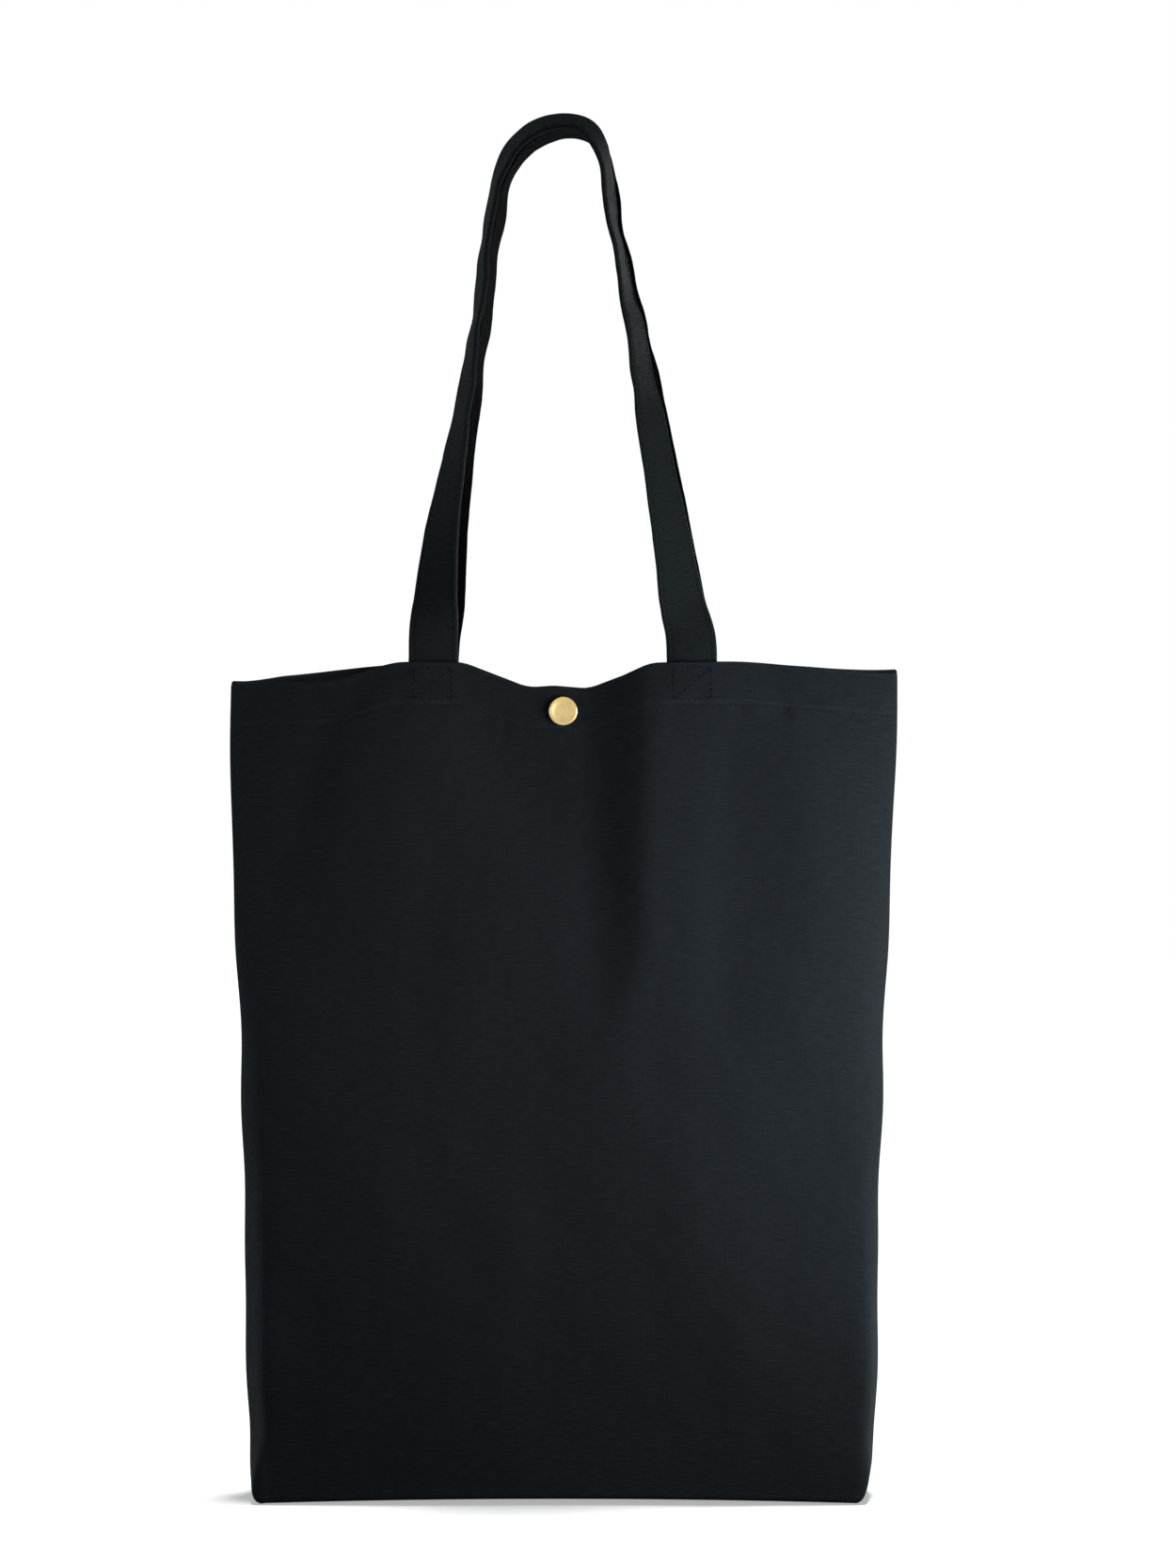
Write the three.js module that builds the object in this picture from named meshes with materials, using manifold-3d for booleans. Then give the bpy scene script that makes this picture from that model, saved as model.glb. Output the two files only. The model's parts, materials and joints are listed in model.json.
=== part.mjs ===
// Canvas tote bag: two sewn walls on a boxed bottom, a hemmed mouth, two shoulder straps and a snap.
// Millimetres, +Z up. The front wall faces -Y and +X is to the right as the front is looked at.
// The origin is on the ground under the middle of the base.
import * as THREE from "three";
import { mergeVertices } from "three/addons/utils/BufferGeometryUtils.js";
import Module from "manifold-3d";

// Canvas and the play that layers keep between them
const CLOTH = 1.0;
const GAP = 0.3;
const THREAD = 0.4;

// Body of the bag
const HALF_WIDTH = 161.5;
const MOUTH_FLARE = 10.1;
const FLARE_FROM = 60;
const CORNER_PULL = 8;
const CORNER_PULL_HEIGHT = 12;
const BASE_HALF_DEPTH = 30;
const MOUTH_HALF_DEPTH = 14;
const NARROWS_FROM = 60;
const NARROWS_TO = 385;
const SEAM_HALF_GAP = 1.6;

// The section is a superellipse: boxy at the base and lens-like at the mouth
const MOUTH_SQUARENESS = 2.2;
const ADDED_SQUARENESS = 9.8;
const SQUARE_HEIGHT = 95;

// Mouth: its height at the straps, the dip at the snap and the drop of each corner
const MOUTH_HEIGHT = 428;
const MOUTH_DIP = 13;
const DIP_CENTRE = -3;
const DIP_FLAT = 18;
const DIP_END = 52;
const LEFT_CORNER_DROP = 9;
const RIGHT_CORNER_DROP = 4;
const DROP_FROM = 80;
const DROP_LENGTH = 90;
const HEM = 24;
const HEM_LINE = 22;
const HEM_LINE_WIDTH = 1;

// Seams inside the bag
const SEAM_ALLOWANCE = 11;
const SEAM_HALF_THICKNESS = 1.3;
const SEAM_INSET = 0.6;
const SEAM_CLEARANCE = 2;
const OPENED_SEAM = 1.6;
const CORNER_SEAM_LENGTH = 44;
const CORNER_SEAM_X = 149.6;
const BASE_SEAM_LENGTH = 297;

// Straps: webbing sewn inside the hem, upright and twisting edge-on as they rise
const STRAP_WIDTH = 25;
const STRAP_THICKNESS = 2.4;
const STRAP_LEFT = -67.4;
const STRAP_RIGHT = 65.4;
const SEWN_LENGTH = 21;
const STITCHES_HALF_WIDTH = 11;
const STITCHES_BELOW_EDGE = 1;
const HEM_DEPTH = 9.7;
const ARCH_DEPTH = 14.6;
const PARTING_LENGTH = 80;
const ARCH_HEIGHT = 706;
const BACK_STRAP_SHIFT = 3;

// Snap fastener
const SNAP_X = -0.7;
const SNAP_HEIGHT = 402.7;
const SNAP_CLOTH_FACE = 5.0;
const PINCH_FLAT = 9;
const PINCH_FROM = 250;
const PINCH_TO = 380;
const CAP_RADIUS = 7.5;
const CAP_DOME = 2.1;
const SOCKET_RADIUS = 5.75;
const POST_RADIUS = 2.6;
const HOLE_RADIUS = 3.0;
const HOLE_LENGTH = 40;

// How finely the surfaces are divided
const COLUMNS = 44;
const ROWS = 14;
const ROUND = 20;
const CROWN_STEPS = 6;
const WIRE_STEPS = 8;
const STRAP_COLUMNS = 5;
const MERGE_WITHIN = 1e-4;

const wasm = await Module();
wasm.setup();

const CANVAS_COLOUR = 0x181d20;
const CANVAS_DARK = 0x14191c;
const THREAD_COLOUR = 0x101416;
const BRASS_COLOUR = 0xcfb578;
const CLOTH_FINISH = { roughness: 0.9, metalness: 0 };
const BRASS_FINISH = { roughness: 0.35, metalness: 1 };

const bag = new THREE.Group();
bag.name = "tote_bag";

const smoothstep = THREE.MathUtils.smoothstep;

// Half the bag's width at a height: straight near the ground, flaring to the mouth, with the
// boxed corners pulled in just above the ground.
function halfWidth(z) {
  const flare = MOUTH_FLARE * smoothstep(z, FLARE_FROM, MOUTH_HEIGHT);
  return HALF_WIDTH + flare - CORNER_PULL * Math.exp(-z / CORNER_PULL_HEIGHT);
}

// Half the bag's depth at a height.
function halfDepth(z) {
  const narrowed = smoothstep(z, NARROWS_FROM, NARROWS_TO);
  return BASE_HALF_DEPTH + (MOUTH_HALF_DEPTH - BASE_HALF_DEPTH) * narrowed;
}

// The exponent of the section's superellipse at a height.
function squareness(z) {
  return MOUTH_SQUARENESS + ADDED_SQUARENESS * Math.exp(-z / SQUARE_HEIGHT);
}

// How far the snap pulls each wall back towards the middle.
function pinch(x, z) {
  const across = 1 - smoothstep(Math.abs(x), PINCH_FLAT, DIP_END);
  const up = smoothstep(z, PINCH_FROM, PINCH_TO);
  return (MOUTH_HALF_DEPTH - SNAP_CLOTH_FACE) * across * up;
}

// Height of the mouth's edge along the width.
function mouthHeight(x) {
  const dip = MOUTH_DIP * (1 - smoothstep(Math.abs(x - DIP_CENTRE), DIP_FLAT, DIP_END));
  const corner = x < 0 ? LEFT_CORNER_DROP : RIGHT_CORNER_DROP;
  const beyond = THREE.MathUtils.clamp((Math.abs(x) - DROP_FROM) / DROP_LENGTH, 0, 1);
  return MOUTH_HEIGHT - dip - corner * beyond;
}

// A point of one wall: across runs from -1 to 1 between the side seams, depth is measured
// inwards from the outer face, and side is -1 for the front wall and 1 for the back one.
function wallPoint(side, across, z, depth) {
  const n = squareness(z);
  const bulge = Math.pow(Math.max(0, 1 - Math.pow(Math.abs(across), n)), 1 / n);
  const x = (halfWidth(z) - depth) * across;
  const swell = halfDepth(z) - SEAM_HALF_GAP - depth - pinch(x, z);
  return [x, side * (SEAM_HALF_GAP + swell * bulge), z];
}

// A closed sheet between two grids of points, its faces turned outwards.
function closedSheet(outer, inner, columns, rows) {
  const points = [];
  const faces = [];
  const stride = rows + 1;
  const layer = (columns + 1) * stride;
  for (const grid of [outer, inner])
    for (let i = 0; i <= columns; i++)
      for (let j = 0; j <= rows; j++) points.push(...grid(i, j));
  const quad = (a, b, c, d) => faces.push(a, b, c, a, c, d);
  const at = (i, j) => i * stride + j;
  for (let i = 0; i < columns; i++)
    for (let j = 0; j < rows; j++) {
      const corners = [at(i, j), at(i + 1, j), at(i + 1, j + 1), at(i, j + 1)];
      quad(...corners);
      quad(...corners.reverse().map((k) => k + layer));
    }
  const rim = [];
  for (let i = 0; i < columns; i++) rim.push(at(i, 0));
  for (let j = 0; j < rows; j++) rim.push(at(columns, j));
  for (let i = columns; i > 0; i--) rim.push(at(i, rows));
  for (let j = rows; j > 0; j--) rim.push(at(0, j));
  rim.forEach((a, k) => {
    const b = rim[(k + 1) % rim.length];
    quad(b, a, a + layer, b + layer);
  });
  return turnedOut(points, faces);
}

// Geometry of a closed set of faces, reversed if they enclose a negative volume.
function turnedOut(points, faces) {
  const corner = (k) => new THREE.Vector3().fromArray(points, 3 * faces[k]);
  let volume = 0;
  for (let k = 0; k < faces.length; k += 3)
    volume += corner(k).cross(corner(k + 1)).dot(corner(k + 2));
  return new THREE.BufferGeometry()
    .setAttribute("position", new THREE.Float32BufferAttribute(points, 3))
    .setIndex(volume < 0 ? faces.reverse() : faces);
}

// Rows of a patch, close together at its foot, where the boxed corners curve.
const FOOTWARD_PULL = 0.8;
const footwards = (share) => share * (1 - FOOTWARD_PULL * (1 - share) ** 3);
const evenly = (share) => share;

// A patch of one wall's layers, from one depth to another. lowest and highest give its edges
// from the x of each column at the mouth.
function wallPatch(side, depths, columns, rows, acrossAt, lowest, highest, spacing = evenly) {
  const grid = (depth) => (i, j) => {
    const across = acrossAt(i / columns);
    const x = halfWidth(MOUTH_HEIGHT) * across;
    const share = spacing(j / rows);
    return wallPoint(side, across, lowest(x) * (1 - share) + highest(x) * share, depth);
  };
  return closedSheet(grid(depths[0]), grid(depths[1]), columns, rows);
}

// Columns over the whole width, close together at the side seams.
const fullWidth = (share) => Math.sin((share - 0.5) * Math.PI);

// Columns between two places on the mouth.
function between(from, to) {
  return (share) => (from + (to - from) * share) / halfWidth(MOUTH_HEIGHT);
}

function toSolid(geometry) {
  const bare = geometry.clone();
  bare.deleteAttribute("normal");
  bare.deleteAttribute("uv");
  const merged = mergeVertices(bare, MERGE_WITHIN);
  return new wasm.Manifold(
    new wasm.Mesh({
      numProp: 3,
      vertProperties: merged.attributes.position.array,
      triVerts: new Uint32Array(merged.index.array),
    }),
  );
}

function toGeometry(solid) {
  const mesh = solid.getMesh();
  return new THREE.BufferGeometry()
    .setAttribute("position", new THREE.BufferAttribute(mesh.vertProperties, 3))
    .setIndex(new THREE.BufferAttribute(mesh.triVerts, 1));
}

// The hole that the snap's rivet goes through, right across both walls.
const rivetHole = new THREE.CylinderGeometry(HOLE_RADIUS, HOLE_RADIUS, HOLE_LENGTH, ROUND)
  .translate(SNAP_X, 0, SNAP_HEIGHT);

function pierced(geometry) {
  return toGeometry(toSolid(geometry).subtract(toSolid(rivetHole)));
}

function add(name, geometry, colour, finish = CLOTH_FINISH) {
  geometry.computeVertexNormals();
  const material = new THREE.MeshStandardMaterial({ color: colour, ...finish });
  const mesh = new THREE.Mesh(geometry, material);
  mesh.name = name;
  bag.add(mesh);
}

// Outer face of the hem's facing, and of the strap ends sewn inside it
const FACING_DEPTH = CLOTH + GAP;
const STRAP_END_DEPTH = FACING_DEPTH + CLOTH + GAP;

// The two walls with their turned hems and hem stitching
const WALLS = [
  { name: "front", side: -1 },
  { name: "back", side: 1 },
];
for (const { name, side } of WALLS) {
  const ground = () => 0;
  const layers = [0, CLOTH];
  const wall = wallPatch(side, layers, COLUMNS, ROWS, fullWidth, ground, mouthHeight, footwards);
  add(name + "_panel", pierced(wall), CANVAS_COLOUR);

  const facing = wallPatch(side, [FACING_DEPTH, FACING_DEPTH + CLOTH], COLUMNS, 1, fullWidth,
    (x) => mouthHeight(x) - HEM, (x) => mouthHeight(x) - GAP);
  add(name + "_hem_facing", pierced(facing), CANVAS_COLOUR);

  const stitching = wallPatch(side, [-GAP - THREAD, -GAP], COLUMNS, 1, fullWidth,
    (x) => mouthHeight(x) - HEM_LINE - HEM_LINE_WIDTH, (x) => mouthHeight(x) - HEM_LINE);
  add(name + "_hem_stitching", stitching, THREAD_COLOUR);
}

// The base: the walls' own outline at the ground, inside them by one cloth and a gap
function baseFace(height) {
  return (i, j) => {
    const [x, y] = wallPoint(1, fullWidth(i / COLUMNS), 0, CLOTH + GAP);
    return [x, y * (2 * j - 1), height];
  };
}
add("base_panel", closedSheet(baseFace(0), baseFace(CLOTH), COLUMNS, 1), CANVAS_DARK);

// Seam allowances inside the bag, one up each side and three on the base
const seamTop = (sign) => mouthHeight(sign * halfWidth(MOUTH_HEIGHT)) - GAP;
for (const { name, sign } of [{ name: "left", sign: -1 }, { name: "right", sign: 1 }]) {
  const lowest = SEAM_ALLOWANCE + SEAM_CLEARANCE;
  const edge = (inset, side) => (i, j) => {
    const z = lowest + (seamTop(sign) - lowest) * (j / ROWS);
    const x = halfWidth(z) - SEAM_INSET - (i === 0 ? 0 : inset);
    return [sign * x, side * SEAM_HALF_THICKNESS, z];
  };
  const strip = closedSheet(edge(SEAM_ALLOWANCE, -1), edge(SEAM_ALLOWANCE, 1), 1, ROWS);
  add(name + "_side_seam", strip, CANVAS_DARK);

  const height = SEAM_ALLOWANCE - SEAM_CLEARANCE;
  const corner = new THREE.BoxGeometry(OPENED_SEAM, CORNER_SEAM_LENGTH, height)
    .translate(sign * CORNER_SEAM_X, 0, CLOTH + GAP + height / 2);
  add(name + "_corner_seam", corner, CANVAS_DARK);
}
const baseSeam = new THREE.BoxGeometry(BASE_SEAM_LENGTH, SEAM_ALLOWANCE, OPENED_SEAM)
  .translate(0, SEAM_ALLOWANCE / 2, CLOTH + GAP + OPENED_SEAM / 2);
add("base_seam", baseSeam, CANVAS_DARK);

// Strap ends sewn inside the hem, and the crossed box of stitching that shows outside it
const STITCH_BOX = { width: 19, height: 18, thread: 1.1, slant: 1.32, reach: 40 };
function crossedBox(x, z) {
  const { width, height, thread, slant, reach } = STITCH_BOX;
  const rectangle = (w, h) => [[-w, -h], [w, -h], [w, h], [-w, h]]
    .map(([u, v]) => new THREE.Vector2(x + u / 2, z + v / 2));
  const shape = new THREE.Shape(rectangle(width, height));
  const inside = { w: width / 2 - thread, h: height / 2 - thread };
  const windows = [
    [[-inside.w + slant, inside.h], [inside.w - slant, inside.h], [0, slant]],
    [[-inside.w + slant, -inside.h], [0, -slant], [inside.w - slant, -inside.h]],
    [[-inside.w, -inside.h + slant], [-inside.w, inside.h - slant], [-slant, 0]],
    [[inside.w, -inside.h + slant], [slant, 0], [inside.w, inside.h - slant]],
  ];
  for (const window of windows)
    shape.holes.push(new THREE.Path(window.map(([u, v]) => new THREE.Vector2(x + u, z + v))));
  const prism = new THREE.ExtrudeGeometry(shape, { depth: 2 * reach, bevelEnabled: false });
  return prism.translate(0, 0, -reach).rotateX(Math.PI / 2);
}
const STRAP_SIDES = [
  { name: "left", x: STRAP_LEFT },
  { name: "right", x: STRAP_RIGHT },
];
for (const wall of WALLS)
  for (const { name, x } of STRAP_SIDES) {
    const across = between(x - STRAP_WIDTH / 2, x + STRAP_WIDTH / 2);
    const layers = [STRAP_END_DEPTH, STRAP_END_DEPTH + STRAP_THICKNESS];
    const sewn = wallPatch(wall.side, layers, STRAP_COLUMNS, 1, across,
      () => MOUTH_HEIGHT - SEWN_LENGTH - GAP, () => MOUTH_HEIGHT - GAP);
    add(wall.name + "_strap_" + name + "_end", sewn, CANVAS_COLOUR);

    const skin = wallPatch(wall.side, [-GAP - THREAD, -GAP], STRAP_COLUMNS, 1,
      between(x - STITCHES_HALF_WIDTH, x + STITCHES_HALF_WIDTH),
      () => MOUTH_HEIGHT - SEWN_LENGTH, () => MOUTH_HEIGHT - STITCHES_BELOW_EDGE);
    const box = crossedBox(x, MOUTH_HEIGHT - SEWN_LENGTH / 2 - STITCHES_BELOW_EDGE);
    const stitches = toGeometry(toSolid(skin).intersect(toSolid(box)));
    add(wall.name + "_box_stitch_" + name, stitches, THREAD_COLOUR);
  }

// The line that a front strap's middle follows, seen from the front, from hem to hem.
const STRAP_LINE = [
  [STRAP_LEFT, MOUTH_HEIGHT + 0.9],
  [-67.2, 436],
  [-66.4, 448],
  [-62.6, 496],
  [-52.8, 553],
  [-43.2, 615],
  [-36.4, 670],
  [-29, 690],
  [-4, ARCH_HEIGHT],
  [17.6, 694],
  [24, 656],
  [34.9, 602],
  [44.2, 550],
  [55.6, 486],
  [62.2, 450],
  [65.1, 437],
  [STRAP_RIGHT, MOUTH_HEIGHT + 0.9],
];
const STRAP_STEPS = 72;
const MOST_TWIST = THREE.MathUtils.degToRad(86);
const LEFT_TWIST_LENGTH = 75;
const RIGHT_TWIST_LENGTH = 95;
const TWIST_FROM = 1;
const TWIST_FREE = 16;

// A strap as a ribbon of rectangular section. It faces outwards at the hem and turns edge-on
// above it, so that its flat side looks up at the top of the arch.
function strap(side) {
  const shift = side > 0 ? BACK_STRAP_SHIFT : 0;
  const line = new THREE.CatmullRomCurve3(STRAP_LINE.map(([x, z]) => {
    const rise = 1 - Math.exp(-(z - MOUTH_HEIGHT) / PARTING_LENGTH);
    const depth = HEM_DEPTH + (ARCH_DEPTH - HEM_DEPTH) * rise;
    return new THREE.Vector3(x + shift * rise, side * depth, z);
  }), false, "centripetal");
  const outward = new THREE.Vector3(0, side, 0);
  const corner = (across, face) => (i) => {
    const share = i / STRAP_STEPS;
    const middle = line.getPointAt(share);
    const along = line.getTangentAt(share);
    const rise = middle.z - MOUTH_HEIGHT;
    const length = share < 0.5 ? LEFT_TWIST_LENGTH : RIGHT_TWIST_LENGTH;
    const freed = smoothstep(rise, TWIST_FROM, TWIST_FREE);
    const twist = MOST_TWIST * (1 - Math.exp(-rise / length)) * freed;
    const upward = new THREE.Vector3(-along.z, 0, along.x).normalize();
    const normal = outward.clone().multiplyScalar(Math.cos(twist));
    normal.addScaledVector(upward, Math.sin(twist)).normalize();
    const width = new THREE.Vector3().crossVectors(normal, along).normalize();
    normal.crossVectors(along, width).normalize();
    return middle
      .addScaledVector(width, across * STRAP_WIDTH / 2)
      .addScaledVector(normal, face * STRAP_THICKNESS / 2)
      .toArray();
  };
  const faceOf = (face) => (i, j) => corner(j * 2 - 1, face)(i);
  return closedSheet(faceOf(1), faceOf(-1), STRAP_STEPS, 1);
}
for (const { name, side } of WALLS) add(name + "_strap", strap(side), CANVAS_COLOUR);

// Snap fastener: each piece is turned about the rivet's line. A profile is given as pairs of
// radius and distance from the bag's middle plane, towards the front.
function turnedPiece(profile) {
  const line = profile.map(([radius, ahead]) => new THREE.Vector2(radius, -ahead));
  const turned = new THREE.LatheGeometry(line, ROUND);
  turned.deleteAttribute("uv");
  turned.deleteAttribute("normal");
  const bare = mergeVertices(turned.translate(SNAP_X, 0, SNAP_HEIGHT), MERGE_WITHIN);
  return turnedOut(Array.from(bare.attributes.position.array), Array.from(bare.index.array));
}

// The cap's crown as an arc from its rim to its middle.
function crown(rim, radius, rise) {
  return Array.from({ length: CROWN_STEPS + 1 }, (_, k) => {
    const angle = (k / CROWN_STEPS) * Math.PI / 2;
    return [radius * Math.cos(angle), rim + rise * Math.sin(angle)];
  });
}
const CLOTH_OUTSIDE = SNAP_CLOTH_FACE + GAP;
const CLOTH_INSIDE = SNAP_CLOTH_FACE - 2 * CLOTH - GAP;
const SOCKET_BACK = 0.3;
const SOCKET_FRONT = CLOTH_INSIDE - GAP;
const SOCKET_FLOOR = 0.5;
const CAVITY_RADIUS = 3.8;
const SOCKET_BEVEL = 0.5;
const SOCKET_LIP = 0.4;

add("snap_cap", turnedPiece([
  [0, CLOTH_INSIDE],
  [POST_RADIUS, CLOTH_INSIDE],
  [POST_RADIUS, CLOTH_OUTSIDE],
  ...crown(CLOTH_OUTSIDE, CAP_RADIUS, CAP_DOME),
]), BRASS_COLOUR, BRASS_FINISH);

add("snap_socket", turnedPiece([
  [0, SOCKET_FRONT],
  [SOCKET_RADIUS - SOCKET_BEVEL, SOCKET_FRONT],
  [SOCKET_RADIUS, SOCKET_FRONT - SOCKET_BEVEL],
  [SOCKET_RADIUS, SOCKET_BACK + SOCKET_LIP],
  [SOCKET_RADIUS - SOCKET_LIP, SOCKET_BACK],
  [CAVITY_RADIUS, SOCKET_BACK],
  [CAVITY_RADIUS, SOCKET_FRONT - SOCKET_FLOOR],
  [0, SOCKET_FRONT - SOCKET_FLOOR],
]), BRASS_COLOUR, BRASS_FINISH);

// The spring ring that grips the stud lies loose in the socket's cavity.
const SPRING = { middle: 3.2, wire: 0.28, ahead: 1.15 };
const springProfile = Array.from({ length: WIRE_STEPS + 1 }, (_, k) => {
  const angle = (k / WIRE_STEPS) * 2 * Math.PI;
  const radius = SPRING.middle + SPRING.wire * Math.cos(angle);
  return [radius, SPRING.ahead + SPRING.wire * Math.sin(angle)];
});
add("snap_spring", turnedPiece(springProfile), BRASS_COLOUR, BRASS_FINISH);

const STUD_RADIUS = 2.4;
const STUD_NECK = 1.9;
const STUD_FLANGE = 5;
const STUD_ROUNDING = 0.6;
const STUD = { rim: -1.2, shoulder: -0.6, neck: 0.1, bulge: 0.8, crown: 1.2, tip: 1.6 };
const POST_BEVEL = 0.3;
const POST_FLANGE = 0.8;
add("snap_stud", turnedPiece([
  [0, -SOCKET_FRONT],
  [STUD_FLANGE, -SOCKET_FRONT],
  [STUD_FLANGE, STUD.rim],
  [STUD_NECK + STUD_ROUNDING, STUD.shoulder],
  [STUD_NECK, STUD.neck],
  [STUD_RADIUS, STUD.bulge],
  [STUD_RADIUS, STUD.crown],
  [STUD_RADIUS - STUD_ROUNDING, STUD.tip],
  [0, STUD.tip],
]), BRASS_COLOUR, BRASS_FINISH);

add("snap_stud_post", turnedPiece([
  [0, -CLOTH_INSIDE],
  [POST_RADIUS, -CLOTH_INSIDE],
  [POST_RADIUS, -CLOTH_OUTSIDE],
  [STUD_FLANGE, -CLOTH_OUTSIDE],
  [STUD_FLANGE - POST_BEVEL, -CLOTH_OUTSIDE - POST_FLANGE],
  [0, -CLOTH_OUTSIDE - POST_FLANGE],
]), BRASS_COLOUR, BRASS_FINISH);

export default bag;
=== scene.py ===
"""Canvas tote bag: cloth, seams, stitches, straps, snap and studio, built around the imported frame.

Metres, +Z up, front wall towards -Y. Every surface is a grid worked out with numpy from a few sizes.
"""
import json
import math

import bpy
import numpy as np
from bpy.props import FloatProperty, FloatVectorProperty, IntProperty, PointerProperty
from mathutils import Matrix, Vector


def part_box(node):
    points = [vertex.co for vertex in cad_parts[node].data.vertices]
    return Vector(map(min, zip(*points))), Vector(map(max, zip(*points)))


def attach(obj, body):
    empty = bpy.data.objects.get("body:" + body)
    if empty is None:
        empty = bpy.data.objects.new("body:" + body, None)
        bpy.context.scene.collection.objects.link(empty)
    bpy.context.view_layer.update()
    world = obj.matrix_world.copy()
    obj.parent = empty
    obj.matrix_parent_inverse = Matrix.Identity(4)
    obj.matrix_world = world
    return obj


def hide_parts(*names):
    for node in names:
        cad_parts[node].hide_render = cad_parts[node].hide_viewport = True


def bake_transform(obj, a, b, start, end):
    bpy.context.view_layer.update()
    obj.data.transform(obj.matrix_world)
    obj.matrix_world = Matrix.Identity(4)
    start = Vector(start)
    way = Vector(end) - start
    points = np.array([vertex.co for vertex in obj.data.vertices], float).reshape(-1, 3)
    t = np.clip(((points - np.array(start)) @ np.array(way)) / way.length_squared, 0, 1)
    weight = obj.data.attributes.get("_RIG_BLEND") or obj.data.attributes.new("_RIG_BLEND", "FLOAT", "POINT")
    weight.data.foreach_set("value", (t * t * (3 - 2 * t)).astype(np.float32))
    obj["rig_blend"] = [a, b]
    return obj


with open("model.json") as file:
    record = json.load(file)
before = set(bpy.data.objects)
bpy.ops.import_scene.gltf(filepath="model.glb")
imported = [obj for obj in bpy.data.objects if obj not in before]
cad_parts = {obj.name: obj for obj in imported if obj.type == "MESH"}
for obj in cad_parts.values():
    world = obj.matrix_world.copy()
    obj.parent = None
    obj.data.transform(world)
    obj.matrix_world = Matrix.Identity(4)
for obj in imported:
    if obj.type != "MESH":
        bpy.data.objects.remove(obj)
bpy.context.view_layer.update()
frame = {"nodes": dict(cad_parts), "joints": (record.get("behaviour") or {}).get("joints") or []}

bl_info = {
    "name": "Canvas Tote Bag",
    "version": (1, 0, 0),
    "blender": (4, 5, 0),
    "location": "View3D > Sidebar > Tote Bag",
    "description": "Builds a canvas tote bag with hems, seams, stitched straps and a brass snap",
    "category": "Add Mesh",
}

MM = 0.001
FRONT = -1
BACK = 1
SIDES = ((FRONT, "front", "front_wall"), (BACK, "back", "bag"))

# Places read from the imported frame
WALL_LOW, WALL_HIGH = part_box("front_panel")
MOUTH_HEIGHT = WALL_HIGH.z
MOUTH_HALF_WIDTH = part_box("front_hem_stitching")[1].x
BASE_HALF_DEPTH = -WALL_LOW.y


def middle(node):
    """The middle of a CAD node's box."""
    low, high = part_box(node)
    return (low + high) / 2


SNAP = middle("snap_cap")
STRAP_X = {name: middle("front_box_stitch_" + name).x for name in ("left", "right")}
HINGE_HEIGHT = next(j for j in frame["joints"] if j["name"] == "front_strap_fold")["pos_m"][2]

# Both side edges as the bag stands, in millimetres: height, left and right. The seam's roll is
# not part of it.
EDGE_HEIGHTS = [-20, -2, 4.3, 10, 17.3, 30, 42.5, 91, 139.4, 212, 284.7, 357.3, 400.9, 420.3, 440]
LEFT_EDGE = [-150, -156.6, -160.6, -161.4, -161.9, -162.4, -162.8, -163.8, -164.6, -165.2, -168.4,
             -172.8, -172.5, -172.2, -172.0]
RIGHT_EDGE = [145, 151.2, 154.8, 156.6, 158, 159.2, 159.9, 160.7, 161.2, 162.8, 165.4, 170.2, 171.9,
              171.9, 171.8]
# Over how far in height the edges' corners are rounded, near the ground and higher up
EDGE_ROUNDING = (3 * MM, 25 * MM)
EDGE_ROUNDING_RISE = (30 * MM, 120 * MM)

# The walls' section: its depth at the mouth, the boxed foot's creases and roundness on the left and
# the right, and the exponents of the superellipse above it
MOUTH_HALF_DEPTH = 14 * MM
NARROWING = (60 * MM, 385 * MM)
BOXED_HEIGHT = 175 * MM
CREASE_SHARE = {-1: 0.938, 1: 0.962}
CREASE_ROUNDNESS = {-1: 7.0, 1: 4.0}
FOOT_CREASE = 0.988
FOOT_CREASE_TOP = 40 * MM
LENS_EXPONENTS = (3.4, 2.2)
LENS_RISE = (150 * MM, 360 * MM)
SEAM_HALF_GAP = 0.35 * MM
SEAM_ROLL = 1.1 * MM
SEAM_ROLL_DEPTH = 1.2 * MM
SEAM_WAVER = 0.45 * MM
FOOT_LIFT = 2.3 * MM
FOOT_LIFT_TOP = 50 * MM

# The mouth's edge, in millimetres: each slope of the snap's dip as (start, end), small humps in it
# as (height, x, half width), and the corners' drops as (side, drop, start, end)
DIP = 13.4
DIP_RIGHT = (14, 44)
DIP_LEFT = (19, 52)
DIP_HUMPS = ((0.9, -7, 7), (-0.5, 10, 6))
CORNER_DROPS = {
    FRONT: ((-1, 11.0, 82, 128), (1, 5.2, 84, 168)),
    BACK: ((-1, 7.2, 74, 156), (-1, 2.6, 142, 168), (1, 3.4, 84, 168)),
}
MOUTH_CLEARANCE = 0.1
MOUTH_WAVER = 0.35
MOUTH_SEED = {FRONT: 5, BACK: 6}

# The snap's pull on a wall: its depth, how far it drifts left on the way down, and its slopes
SNAP_CLOTH_MIDDLE = 4.55 * MM
PINCH_DRIFT = 36 * MM
PINCH_DRIFT_RISE = (170 * MM, 290 * MM)
PINCH_RIGHT = (6 * MM, 46 * MM)
PINCH_RIGHT_POWER = 1.35
PINCH_LEFT = (9 * MM, 120 * MM)
PINCH_RISE = (170 * MM, 360 * MM)

# Cloth, hem and strap ends
CLOTH = 0.8 * MM
HEM_FOLD = 0.95 * MM
HEM_DEPTH = 23.5 * MM
HEM_LINE = 22.0 * MM
SEWN_LENGTH = 21 * MM
FOOT_RADIUS = 2.6 * MM
FOOT_TURN_IN = 3.4 * MM
STRAP_THICKNESS = 2.3 * MM
STRAP_END_DEPTH = 3.6 * MM


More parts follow.
